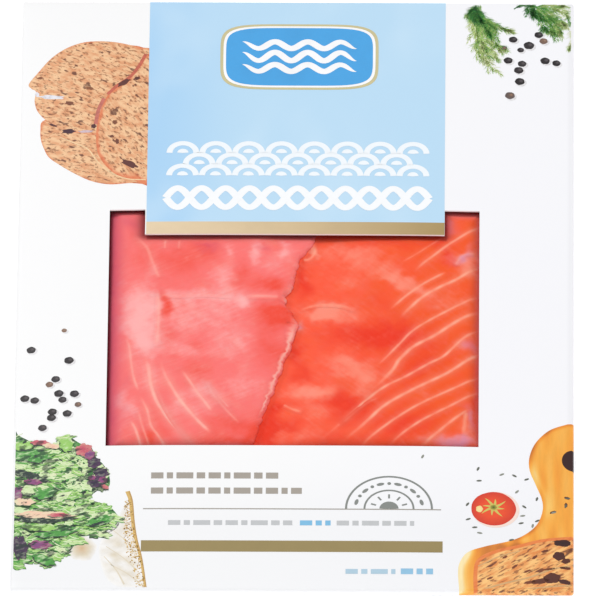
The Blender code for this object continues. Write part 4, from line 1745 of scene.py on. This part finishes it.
LEFT_FLESH = Flesh(
    # Pale ovals: paler flesh, some of them painted sheen of the film.
    pale=(
        (-40.7, -10.4, 5, 11.5, 0, 1), (-39, -19.8, 3.7, 4.3, 0, 0.5), (-25, -2.8, 12.6, 2.6, 0, 0.6),
        (-14.4, -4.3, 2.1, 2.2, 0, 0.7), (-28.8, -10.5, 5.8, 5, 0.1, 0.45),
        (-19.1, -10.4, 5.3, 5.8, 0, 0.5), (-28.7, -22, 5.3, 3.2, -0.3, 0.55),
        (-16.4, -20.2, 5.8, 5.8, 0, 0.4), (-44.2, -41.7, 2.4, 6.5, 0.1, 0.6),
        (-37.8, -32.1, 3.7, 5, 0, 0.35), (-23.3, -37.2, 4.2, 4.3, -0.3, 0.5),
        (-30.3, -41.8, 2.6, 5, -0.4, 0.4), (-12.8, -34.6, 3.7, 4.3, 0.2, 0.45),
        (-18.7, 4.1, 2.9, 5, 0, 0.5), (-17.2, 13.9, 1.3, 2.5, 0, 0.6), (-10.6, 13.2, 1.3, 4, 0, 0.8),
        (-3, 14, 1.8, 2.5, 0, 0.75), (-6.1, 8.5, 3.7, 3.6, 0, 0.3), (-37, 9.9, 1.3, 5.8, -0.3, 0.3),
        (-25, -44.7, 3.2, 3.2, -0.5, 0.35), (-34.2, -6, 1.3, 4.6, 0, -0.9),
    ),
    # Deep ovals: deeper flesh, but those along the window's lower edge are painted shade.
    deep=(
        (-38.8, 12.1, 4.7, 5.8, 0, 0.35), (-29.8, 9.9, 5.8, 6.5, 0, 0.6), (-23.6, 14.3, 3.7, 4.3, 0, 0.5),
        (-14.3, 5.2, 2.4, 4.3, 0, 0.55), (-7.1, 2, 4.5, 2.9, 0, 0.95), (-3.9, -9.3, 5, 4.3, 0.1, 1.7),
        (-33.9, -6.8, 1.6, 3.2, 0, 1), (-34.4, -3.2, 1.1, 1.8, 0, 0.6), (-32.7, -17.7, 2.4, 3.6, 0, 0.5),
        (-25.8, -19.5, 1.8, 1.8, 0, 0.5), (-31, -24.6, 2.1, 1.8, 0, 0.35),
        (-25.2, -29.6, 3.2, 4.7, -0.3, 0.65), (-5.8, -22, 4.2, 7.2, 0.3, 0.7),
        (-37.5, -52.9, 3.7, 2.9, 0, 0.9), (-15.3, -49, 7.9, 3.6, 0, 0.7), (-17.9, -54.7, 10.5, 2.2, 0, 0.8),
        (-9.8, -52.9, 2.6, 4.3, 0, 1), (-34.2, -46.5, 3.2, 4.3, 0, 0.3),
    ),
    # Cool ovals: painted violet shade in the top left notch, along the left edge and below the tab.
    cool=(
        (-45.1, 24.6, 5.8, 4, 0, 0.5), (-46.1, -39.9, 2.4, 14.4, 0, 0.3), (-22.5, 15.7, 2.4, 1.8, 0, 0.5),
        (-8.8, 15.4, 2.1, 1.4, 0, 0.3),
    ),
    lines=(
        (((-40.6, -37.1), (-42, -32), (-42.8, -26.3), (-43.4, -20.5), (-44.5, -16.8)), 0.34, 0.6),
        (((-24.6, -57.6), (-28.9, -52.2), (-31.8, -48.3), (-34.2, -44), (-36.1, -40), (-37.5, -34.6),
         (-38.3, -27.8), (-39.5, -22)), 0.46, 1), (((-21.3, -52.2), (-24.5, -48.3), (-27.1, -44.4),
         (-29.8, -40.1), (-31.9, -35.7), (-33.8, -31), (-35.5, -24.5)), 0.42, 0.9),
        (((-21.4, -44.4), (-23.2, -41.1), (-25.4, -37.2), (-27.2, -33.6), (-29.9, -28.5)), 0.36, 0.75),
        (((-16.9, -43.3), (-19, -40.4), (-20.9, -37.9), (-23.3, -33.9)), 0.42, 0.65),
        (((-32.7, -57.5), (-35.4, -52.6), (-37.3, -49), (-38.4, -43.6), (-40.6, -37.8)), 0.36, 0.75),
        (((-39.3, -57.9), (-40.6, -53.2), (-41.5, -50), (-42.8, -47.1)), 0.36, 0.85),
        (((-35.6, 4.1), (-36.7, 7), (-38, 11.4), (-39.4, 15.8), (-42.9, 20.6)), 0.42, 0.45),
        (((-34.4, 14.7), (-34.4, 16.8), (-34.2, 18.7)), 0.26, 0.5),
        (((-30.7, 14.6), (-30.7, 16.8), (-30.5, 18.6)), 0.24, 0.35),
        (((-16.5, -2.8), (-23.7, -2.1), (-31.5, -2.5), (-38.7, -1.7)), 0.34, 0.25),
        (((-3.9, -2.8), (-8.7, -2.6), (-12.9, -2.8)), 0.45, 0.6),
        (((-36.1, -20.9), (-35.8, -13), (-35.8, -5.7), (-36.3, 0.5)), 0.36, 0.55),
        (((-14, -48.6), (-17.7, -43.6), (-20.9, -38.6), (-23.1, -32.9)), 0.3, 0.4),
        (((-25.4, -56.8), (-30.2, -50.1), (-33.7, -42.9), (-35.9, -35.7)), 0.26, 0.35),
        (((-37.5, -56.5), (-39.4, -50), (-40.8, -43.6)), 0.28, 0.45),
        (((-2.3, -4.9), (-1, -0.9), (0.3, 2.4)), 0.6, 0.9),
    ),
)

RIGHT_FLESH = Flesh(
    # Pale ovals: paler flesh, some of them painted sheen of the film.
    pale=(
        (21, 8.7, 6.3, 3.6, -0.2, 0.6), (14.4, 13.7, 7.9, 3.2, 0, 0.6), (26, 4.7, 2.6, 2.2, -0.3, 0.85),
        (32.4, -0.3, 3.7, 2.5, -0.4, 0.8), (28.9, 2.2, 2.1, 1.8, -0.3, 0.5),
        (8.5, -7.8, 6.3, 2.5, 0.05, 0.95), (7.2, -8.1, 2.4, 1.8, 0, 0.8), (15.1, -10.3, 5.8, 1.8, 0, 0.35),
        (13.1, 3.5, 4.7, 4.3, 0, 0.25), (17, -29.4, 5.8, 4.3, -0.35, 0.85), (12, -25.5, 3.7, 3.6, 0, 0.45),
        (2.4, -36.7, 4.7, 2.9, 0, 0.75), (6.9, -37, 3.7, 2.5, 0, 0.6), (44.7, 11.6, 3.7, 2.9, 0.7, 0.9),
        (46, 6.9, 2.6, 2.9, 0.5, 0.6), (40.3, -4.1, 6.8, 3.6, 0.5, 0.4), (44.8, -19.6, 2.6, 2.9, 0.5, 0.5),
        (42.3, -53.8, 6.3, 1.8, 0, 0.9), (46.2, -48.3, 1.6, 5.8, 0, 0.4), (6.4, -44.2, 4.7, 3.6, 0, 0.35),
        (1.8, -52.5, 5.3, 2.9, 0, 0.4), (4.9, 15.5, 0.8, 2.9, 0.1, 1), (1.7, -13.2, 1.1, 1.8, 0.4, 1),
        (18.9, -36.3, 2.6, 3.2, 0.6, 0.45), (33.6, -36.8, 2.1, 2.2, 0.6, 0.35),
    ),
    # Deep ovals: deeper flesh, but the long flat ones along the window's lower edge, below the tab and
    # along the right edge are painted shade.
    deep=(
        (2.1, 4.2, 2.1, 6.5, 0, 1), (14.6, -16.4, 9.2, 4.3, -0.1, 0.7), (27.2, -17.4, 9.5, 6.5, -0.1, 1),
        (21.9, -3.7, 3.2, 2.9, 0, 0.3), (0.5, -22.7, 2.1, 5.8, 0.2, 1), (1.6, -31, 2.6, 2.9, 0, 0.6),
        (16.1, -42.4, 6.8, 4.7, 0.4, 1), (10.8, -39.2, 3.7, 2.9, 0, 0.6), (40.8, 11.9, 2.4, 3.6, 0.6, 1),
        (38.1, 18.4, 3.7, 2.9, 0, 0.5), (29.2, -48.7, 8.9, 5.8, 0.5, 0.75),
        (31.7, -28.9, 7.9, 3.6, 0.6, 0.8), (-4.9, -41.8, 2.6, 2.9, 0, 0.9),
        (-7.2, -50.7, 3.2, 6.5, -0.15, 1.6), (-0.9, -48.9, 3.7, 2.9, 0, 0.6),
        (9.6, -53.5, 10.5, 1.8, 0, 0.4), (27.6, 17.1, 13.2, 1.8, 0, 0.4), (47.8, -39.3, 1.1, 10.8, 0, 0.5),
    ),
    # Cool ovals: painted sheen on the film's folds, and painted violet shade in the right notch and by the
    # right edge.
    cool=(
        (44.4, 12.7, 2.9, 1.4, 0.75, 0.6), (42.6, -54.5, 5.3, 1.8, 0, 0.8),
        (46.2, -45.8, 1.3, 3.6, 0.2, 0.5), (46.7, -19.5, 2.1, 2.2, 0.5, 0.4), (40.4, 25, 2.1, 3.6, 0, 0.4),
        (2, -13.2, 0.8, 1.1, 0, 0.5),
    ),
    lines=(
        (((49.1, 24.5), (44.7, 20.7), (40.7, 17.3), (37.3, 13.6), (34.2, 10.3), (31, 6.2)), 0.36, 0.85),
        (((39.7, 21), (35.5, 16.5), (31, 12.4), (27.6, 9.8)), 0.26, 0.35),
        (((40, 6.8), (33.7, 2.1), (29, -2.5), (24.7, -7.7)), 0.34, 0.8),
        (((49.2, 9.9), (42.6, 4.1), (38.4, 1.3), (33.7, -2.5), (30.3, -6.5), (27.4, -10.5)), 0.42, 1),
        (((49.2, -1), (41.9, -6.1), (36.5, -10), (31.1, -14.7), (27.7, -19.4), (24.5, -24),
         (21.2, -28.3)), 0.32, 0.8), (((49.2, -6.4), (42.6, -11.2), (36.6, -16.5), (31.2, -20.6),
         (27.8, -25), (25.2, -30.1), (18.4, -39.1)), 0.46, 1), (((49.3, -12.9), (44.5, -17.1),
         (39.3, -23.7), (35.3, -26.7), (29.1, -31.5), (23.9, -35.1), (19.2, -39.8), (12.5, -48.1),
         (5.2, -56.4)), 0.36, 0.85), (((48.8, -22), (46, -24.6), (40.7, -29.4), (35.3, -33.2),
         (28.6, -37.9), (23.2, -42.5), (18, -49), (11.7, -56)), 0.42, 1), (((49.3, -30.3), (42.7, -34.8),
         (36.7, -38.6), (31.3, -42.4), (26, -47.1), (20.6, -52.6), (17, -56.6)), 0.34, 0.85),
        (((49.3, -35.3), (42.7, -40.4), (37.3, -44.2), (32.6, -47.9), (28.7, -51.6),
         (24.3, -56.6)), 0.34, 0.8),
        (((46.2, -42.3), (40.7, -47.8), (36.7, -52.4), (32.9, -56.5)), 0.4, 0.85),
        (((45.2, -43.4), (44.8, -47.3), (44.5, -52)), 0.5, 0.7),
        (((42.1, 9), (44.2, 12.7), (48.1, 14.3)), 0.3, 0.7),
        (((12.2, -48.8), (18.7, -41.6), (23.1, -38.4)), 0.24, 0.3),
        (((2, 11.8), (3.6, 12), (4.9, 14), (5.1, 17.7)), 0.36, 0.7),
        (((-2.8, -40.7), (-0.4, -42.5), (2.5, -43.9)), 0.32, 0.55),
        (((1.4, -6.4), (6.1, -5.2), (11.9, -5.9), (16.1, -7.7)), 0.3, 0.4),
    ),
)


@dataclass(frozen=True)
class FishBed:
    """Outlines and heights of the two slices, the same rules as those of the solids."""

    card: CardShell
    half_width: float = 62
    half_length: float = 86
    base: float = 1.4
    wave: float = 1.2
    corner: float = 10
    rim_height: float = 1.2
    rim_round: float = 7
    under_card: float = 0.72
    underlap: float = 6
    tongue: float = 0.46
    gap: float = 0.02
    seam_rim: float = 0.1
    seam_round: float = 2
    seam_slope: float = 18
    seam_y: tuple[float, ...] = (-86, -55, -46.5, -31.2, -21.4, -12.1, -4.5, 1.2, 12.1, 18.2, 86)
    seam_x: tuple[float, ...] = (-19, -10.4, -8.4, -4, -1.1, 1.1, -2.6, -0.7, 1.4, 5.3, 8)
    window: Window = Window()
    overhang: float = 1.1

    def seam(self, along: Array) -> Array:
        """Place of the left slice's free edge, a line through the set points with fine ragged teeth."""
        teeth = 0.28 * ripple(along, along * 0, 1.9, 31) + 0.3 * ripple(along, along * 0, 5, 32)
        return np.interp(along, self.seam_y, self.seam_x) + teeth

    def reach(self, along: Array, phase: float) -> Array:
        """Half width of the fish: a straight side with rounded ends and a gentle wave."""
        share = np.abs(along) / self.half_length
        wave = np.sin(0.095 * along + phase) + 0.5 * np.sin(0.21 * along + 2 * phase)
        return self.half_width - self.corner * share**8 + self.wave * wave

    def full(self, across: Array, along: Array, reach: Array) -> Array:
        """Thickness of the fish: up to just below the card, and down to a thin rim."""
        most = self.card.height(across, along) - self.under_card - self.base
        inward = np.minimum(reach - np.abs(across), self.half_length - np.abs(along))
        share = np.sqrt(1 - (1 - np.clip(inward / self.rim_round, 0, 1)) ** 2)
        return self.rim_height + (most - self.rim_height) * share

    def sink(self, across: Array, along: Array) -> Array:
        """Depth of the film and flesh below the fullest height: hollows, and dips by the card."""
        hollows = 0.16 + 0.12 * ripple(across, along, 24, 41) + 0.05 * ripple(across, along, 7, 42)
        return hollows + self.at_edges(across, along, (1.2, 0.8, 0.8, 0.9, 0.7), (3.2, 1.8, 1.8, 2.5, 3))

    def shade(self, across: Array, along: Array) -> Array:
        """Share of the painted shade that the flesh gets along the edges of the window."""
        return self.at_edges(across, along, (0.95, 0.4, 0.6, 0.85, 0.8), (0.95, 0.6, 0.9, 0.9, 1.7))

    def cast(self, across: Array, along: Array) -> Array:
        """Share of the painted violet shade, widest at the window's left edge."""
        return self.at_edges(across, along, (0.95, 0.25, 0, 0.4, 0), (3.3, 1, 1, 2.5, 1))

    def at_edges(self, across: Array, along: Array, peaks: Sequence[float],
                 widths: Sequence[float]) -> Array:
        """Greatest of five bell curves of the distance inward from an edge of the window.

        The edges are the left one, the right one, the lower one, the upper one and the tab's.
        A curve is at its peak at the edge and below the card.

        Args:
            across: places across.
            along: places along.
            peaks: the curves' peaks.
            widths: their widths.

        Returns:
            The greatest curve's value at each place.
        """
        window = self.window
        level = along - self.overhang
        tab_x = np.maximum(np.maximum(window.tab_left - across, across - window.tab_right), 0)
        tab = np.hypot(tab_x, np.maximum(window.tab_low - level, 0))
        inward = (across - window.left, window.right - across, level - window.low, window.high - level, tab)
        curves = [peak * np.exp(-((np.maximum(run, 0) / width) ** 2))
                  for run, peak, width in zip(inward, peaks, widths)]
        return np.maximum.reduce(curves)

    def top(self, across: Array, along: Array, full: Array) -> Array:
        """Top of fish of a thickness, sunk in its hollows where it is thick enough."""
        return self.base + full - self.sink(across, along) * ease(full / 2)

    def left(self, across: Array, along: Array) -> tuple[Array, Array]:
        """Underside and top of the left slice, lifted where it lies on the right one.

        Args:
            across: places across.
            along: places along.

        Returns:
            The heights of both.
        """
        distance = self.seam(along) - across
        full = self.full(across, along, self.reach(along, 0.6))
        top = self.top(across, along, full)
        low = self.base + (self.tongue * full + self.gap) * ease((11 - distance) / 4)
        low = np.minimum(low, top - self.seam_rim)
        share = np.sqrt(1 - (1 - np.clip(distance / self.seam_round, 0, 1)) ** 2)
        return low, low + self.seam_rim + (top - low - self.seam_rim) * share

    def right(self, across: Array, along: Array) -> tuple[Array, Array]:
        """Underside and top of the right slice, thin where it runs below the left one.

        Args:
            across: places across.
            along: places along.

        Returns:
            The heights of both.
        """
        distance = across - self.seam(along)
        full = self.full(across, along, self.reach(along, 2.1))
        thin = self.tongue * full
        top = self.top(across, along, full)
        slope = ease(distance / self.seam_slope)
        return np.full(across.shape, self.base), self.base + thin + (top - self.base - thin) * slope

    def film(self, across: Array, along: Array) -> Array:
        """Height of the film's top skin: over the fish, bridging the seam, down to the margin.

        Args:
            across: places across.
            along: places along.

        Returns:
            The height at each place.
        """
        on_left = self.left(across, along)[1]
        on_right = self.right(across, along)[1]
        past = across - self.seam(along)
        over = np.where(past < 0, self.full(across, along, self.reach(along, 0.6)), 0)
        left_top = self.top(across, along, over)
        skin = np.where(past < 0, np.maximum(on_left, left_top), on_right)
        bridge = 1 - ease(past / 1.6)
        edge_top = self.base + self.full(across, along, self.reach(along, 0.6)) * 0.9
        skin = np.where(past >= 0, np.maximum(skin, skin + (edge_top - skin) * bridge * 0.55), skin)
        return skin


@dataclass(frozen=True)
class Slice:
    """One slice: the solid that it replaces, its rule of underside and top, its flesh and finish."""

    node: str
    heights: Callable[[Array, Array], tuple[Array, Array]]
    flesh: Flesh
    finish: FleshFinish
    slot: Slot
    seed: int


@dataclass
class Slices:
    """The two slices of fish, each a closed piece in place of its solid."""

    bed: FishBed
    cell: float = 0.45
    fine_low: float = -58
    fine_high: float = 30
    groove: float = 0.05
    film_thin: float = 0.008
    # Places along, and widths, of the painted highlight on the left slice's free edge.
    edge_highlight_line: tuple[float, ...] = (-46, -40, -37.5, -34, -31, -20, -15, -10.5, -8)
    edge_highlight_width: tuple[float, ...] = (0.08, 0.14, 0.22, 0.44, 0.3, 0.3, 0.5, 0.76, 0.56)

    def rows(self) -> Array:
        """Grid lines along: close together in the window and wide apart below the card."""
        low = np.linspace(-self.bed.half_length, self.fine_low, 11)
        fine = grid_lines(self.fine_low, self.fine_high, self.cell)
        high = np.linspace(self.fine_high, self.bed.half_length, 20)
        return np.concatenate([low[:-1], fine, high[1:]])

    def build(self) -> list[Piece]:
        """Builds the left slice and the right one, then the lines of fat on each."""
        bed = self.bed
        rows = self.rows()[:, None]
        seam = bed.seam(rows)
        share = np.linspace(0, 1, 150)[None, :]
        # Colours in order: base, deep, pale, fat, cool (painted violet shade and sheen), shade (painted
        # shade), warm.
        pink = FleshFinish(
            "pink_flesh", (251, 124, 121), (244, 78, 56), (254, 184, 182), (255, 190, 176),
            (214, 78, 110), (110, 0, 18), (249, 120, 98), 0.02, 0.5,
        )
        orange = FleshFinish(
            "orange_flesh", (252, 94, 60), (240, 52, 14), (253, 148, 124), (255, 178, 150),
            (222, 150, 184), (150, 14, 10), (247, 92, 28), 0.008, -0.75,
        )
        upper = Slice("slice_left", bed.left, LEFT_FLESH, pink, Slot.PINK, 60)
        lower = Slice("slice_right", bed.right, RIGHT_FLESH, orange, Slot.ORANGE, 80)
        left = self.slab(upper, seam - (seam + bed.reach(rows, 0.6)) * (1 - share) ** 1.15, rows)
        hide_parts("slice_left")
        start = seam - bed.underlap
        right = self.slab(lower, start + (bed.reach(rows, 2.1) - start) * share**1.1, rows)
        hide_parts("slice_right")
        return [left, right, self.strips(upper), self.strips(lower)]

    def values(self, part: Slice, across: Array, along: Array) -> dict[str, Array]:
        """Works out what the places of a slice carry.

        Args:
            part: the slice.
            across: places across.
            along: places along.

        Returns:
            The flesh's values, with the painted shade and the painted violet shade of the window's edges.
        """
        values = part.flesh.values(across, along, part.seed)
        # Painted shade and painted violet shade along the window's edges.
        values["shade"] = self.bed.shade(across, along)
        values["cool"] = np.maximum(values["cool"], self.bed.cast(across, along))
        return values

    def strips(self, part: Slice) -> Piece:
        """Lays the lines of fat on a slice: strips that are highest and palest in their middle.

        A strip's places are the line's own, moved sideways by up to its reach. Its edges have
        the slice's values, so that it runs out into the flesh. The left slice has one more, on
        its free edge: a painted highlight along its cut edge, in the colour of fat.

        Args:
            part: the slice.

        Returns:
            The piece.
        """
        shape = Shape(*CARRIED)
        side = np.linspace(-1, 1, 9)
        lines = [(curve_through(route, 90), width, strength) for route, width, strength in part.flesh.lines]
        # Painted highlight along the left slice's free edge, laid as one more line of fat.
        if part.slot is Slot.PINK:
            along = np.linspace(self.edge_highlight_line[0], self.edge_highlight_line[-1], 260)
            ragged = 1 + 0.6 * ripple(along, along * 0, 1.3, 33)
            width = np.interp(along, self.edge_highlight_line, self.edge_highlight_width) * ragged
            lines.append((joined(self.bed.seam(along) - 0.8, along), width, 0.95))
        for order, (path, width, strength) in enumerate(lines):
            run = np.linspace(0, 1, len(path))[:, None]
            step = np.gradient(path, axis=0)
            step /= np.linalg.norm(step, axis=1, keepdims=True)
            beside = joined(step[:, 1], -step[:, 0])
            reach = np.broadcast_to(np.reshape(width, (-1, 1)) * 2.8, run.shape)
            flat = path[:, None] + beside[:, None] * (side * reach)[..., None]
            across, along = flat[..., 0], flat[..., 1]
            if part.slot is Slot.PINK:
                across = np.minimum(across, self.bed.seam(along) - 0.02)
            values = self.values(part, across, along)
            broken = 0.85 + 0.2 * ripple(across, along, 5, part.seed + 6)
            core = strength * broken * fade(run) * np.exp(-((2.2 * side) ** 2))
            values["fat"] = np.clip(np.maximum(values["fat"], core), 0, 1)
            top = part.heights(across, along)[1] - self.groove * (1 - values["fat"])
            top = top + self.film_thin * (1 + 0.4 * order)
            shape.add(joined(across, along, top), **values)
        return shape.finish(part.node + "_fat", part.finish.make(), part.slot, sharp=1)

    def slab(self, part: Slice, across: Array, rows: Array) -> Piece:
        """Builds one slice: its top and underside as two grids with the same rim.

        The top has a shallow groove beside each line of fat.

        Args:
            part: the slice.
            across: places across, rows by columns.
            rows: places along, one column.

        Returns:
            The piece.
        """
        along = np.broadcast_to(rows, across.shape)
        low, high = part.heights(across, along)
        values = self.values(part, across, along)
        inner = np.zeros(across.shape)
        inner[1:-1, 1:-1] = 1
        high = high - inner * self.groove * (1 - values["fat"])
        walls = np.stack([joined(across, along, low), joined(across, along, high)])
        shape = Shape(*CARRIED)
        shape.add(walls[1], **values)
        shape.add(walls[0], flip=True, **values)
        for edge in (0, -1):
            side = {key: value[:, edge] for key, value in values.items()}
            shape.add(walls[:, :, edge], flip=edge == 0, **side)
            end = {key: value[edge] for key, value in values.items()}
            shape.add(walls[:, edge], flip=edge == -1, **end)
        return shape.finish(part.node + "_flesh", part.finish.make(), part.slot, sharp=1)


@dataclass
class Pouch:
    """The sealed pouch: a clear skin over the fish and below it, closed at its margins."""

    bed: FishBed
    half_width: float = 68.3
    half_length: float = 99.8
    corner: float = 5
    margin: float = 1.02
    under: float = 0.74
    clear: float = 0.1

    def build(self) -> Piece:
        """Builds the pouch: the top skin follows the fish, and the lower skin is flat.

        Both skins share a rim with rounded corners, and the margins between rim and fish
        have fine ribs where they are sealed.
        """
        columns = np.concatenate([np.linspace(-1, -0.74, 14)[:-1], np.linspace(-0.74, 0.73, 170),
                                  np.linspace(0.73, 1, 14)[1:]])
        rows = np.concatenate([np.linspace(-1, -0.58, 26)[:-1], np.linspace(-0.58, 0.30, 150),
                               np.linspace(0.30, 1, 40)[1:]])
        share_x, share_y = np.meshgrid(columns, rows)
        along = share_y * self.half_length
        past = np.clip(np.abs(along) - (self.half_length - self.corner), 0, self.corner)
        inset = self.corner - np.sqrt(self.corner**2 - past**2)
        across = share_x * (self.half_width - inset)
        fish = self.inside(across, along)
        skin = self.bed.film(across, along) + self.clear + self.wrinkles(across, along)
        ribs = 0.03 * np.sin(along * 4) * (np.abs(share_y) > 0.93)
        edge = np.maximum(np.abs(share_x), np.abs(share_y))
        flat = self.under + (self.margin - self.under + ribs) * ease((1 - edge) / 0.02)
        top = flat + (skin - flat) * fish
        shape = Shape()
        shape.add(joined(across, along, top))
        shape.add(joined(across, along, np.full(across.shape, self.under)), flip=True)
        piece = shape.finish("pouch_film", FilmFinish().make(), Slot.FILM, sharp=1.2)
        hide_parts("pouch")
        return piece

    def inside(self, across: Array, along: Array) -> Array:
        """Share that the skin lies on the fish: 1 over it, and 0 a little way outside it."""
        reach = np.minimum(self.bed.reach(along, 0.6), self.bed.reach(along, 2.1))
        side = ease((reach + 3 - np.abs(across)) / 3)
        end = ease((self.bed.half_length + 4 - np.abs(along)) / 4)
        return side * end

    def wrinkles(self, across: Array, along: Array) -> Array:
        """Small folds of the skin: sharp crests where a slow ripple crosses zero."""
        wide = 1 - np.abs(ripple(across, along * 0.6, 17, 51))
        fine = 1 - np.abs(ripple(across * 0.8, along, 6.5, 52))
        return 0.06 * np.clip(wide, 0, 1) ** 4 + 0.025 * np.clip(fine, 0, 1) ** 3


@dataclass
class Studio:
    """Floor, soft lights and a long camera that looks at the pack as the reference does."""

    lens: float = 1500
    sensor: float = 36
    view_width: float = 157.8
    elevation: float = 46.43
    turn: float = 0.65
    roll: float = -0.25
    aim: tuple[float, float, float] = (1.37, -4.77, 4.7)

    def build(self) -> None:
        """Builds the floor, the lights, the sky and the camera."""
        self.add_floor()
        self.add_light("key", (-1, 1.2, 2.4), 0.9, 34)
        self.add_light("side", (1.5, 0, 0.6), 1, 5)
        self.add_light("front", (0.1, -1.5, 0.55), 1, 6.5)
        world = bpy.data.worlds.new("studio_sky")
        world.use_nodes = True
        sky = world.node_tree.nodes["Background"]
        sky.inputs["Color"].default_value = (1, 1, 1, 1)
        sky.inputs["Strength"].default_value = 0.53
        scene = bpy.context.scene
        scene.world = world
        scene.view_settings.view_transform = "Standard"
        self.add_camera()

    def add_floor(self) -> None:
        """Adds the floor as a flat grid below the pack."""
        reach = 4
        mesh = bpy.data.meshes.new("floor")
        lines = np.linspace(-reach, reach, 9)
        across, along = np.meshgrid(lines, lines)
        points = joined(across, along, np.full(across.shape, -0.0002)).reshape(-1, 3)
        index = np.arange(across.size).reshape(across.shape)
        quads = joined(index[:-1, :-1], index[:-1, 1:], index[1:, 1:], index[1:, :-1])
        mesh.from_pydata(points.tolist(), [], quads.reshape(-1, 4).tolist())
        mesh.materials.append(FloorFinish().make())
        floor = bpy.data.objects.new("floor", mesh)
        bpy.context.scene.collection.objects.link(floor)

    def add_light(self, name: str, place: tuple[float, float, float], size: float, power: float) -> None:
        """Adds a square soft light that faces the pack, with its place and size in metres.

        Args:
            name: the light's name.
            place: its middle.
            size: length of its side.
            power: its power in watts.
        """
        data = bpy.data.lights.new(name, "AREA")
        data.shape = "SQUARE"
        data.size = size
        data.energy = power
        light = bpy.data.objects.new(name, data)
        light.location = place
        light.rotation_euler = (-Vector(place)).to_track_quat("-Z", "Y").to_euler()
        bpy.context.scene.collection.objects.link(light)

    def add_camera(self) -> None:
        """Adds the camera: far off, up from the near edge, turned a little about the pack."""
        data = bpy.data.cameras.new("camera")
        data.lens = self.lens
        data.sensor_width = self.sensor
        data.clip_start = 0.1
        data.clip_end = 40
        distance = self.view_width * MM * self.lens / self.sensor
        rise = math.radians(self.elevation)
        turn = math.radians(self.turn)
        away = Vector((math.sin(turn) * math.cos(rise), -math.cos(turn) * math.cos(rise), math.sin(rise)))
        camera = bpy.data.objects.new("camera", data)
        camera.location = Vector(self.aim) * MM + away * distance
        level = (-away).to_track_quat("-Z", "Y")
        camera.rotation_euler = (level @ Quaternion((0, 0, 1), math.radians(self.roll))).to_euler()
        bpy.context.scene.collection.objects.link(camera)
        bpy.context.scene.camera = camera


def report(pieces: Sequence[Piece]) -> None:
    """Logs each piece with its number of faces."""
    for piece in pieces:
        LOG.info("%s: %d faces", piece.name, len(piece.data.polygons))


def main() -> None:
    """Builds the pack's pieces from the outside in, then the studio."""
    logging.basicConfig(level=logging.INFO, format="%(message)s")
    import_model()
    card = CardShell.from_frame()
    bed = FishBed(card)
    report([Wallet(card, Window()).build()])
    report(SkyPanel(card).build())
    report(Ornament(card).build())
    report(BreadPrint(card).build())
    report([DillPrint(card).build(), PepperPrint(card).build(), SaladPrint(card).build()])
    report([WrapPrint(card).build(), LineArt(card).build()])
    report(TomatoPrint(card).build())
    report(BoardPrint(card).build())
    report(Slices(bed).build())
    report([Pouch(bed).build()])
    Studio().build()


if __name__ == "__main__":
    main()
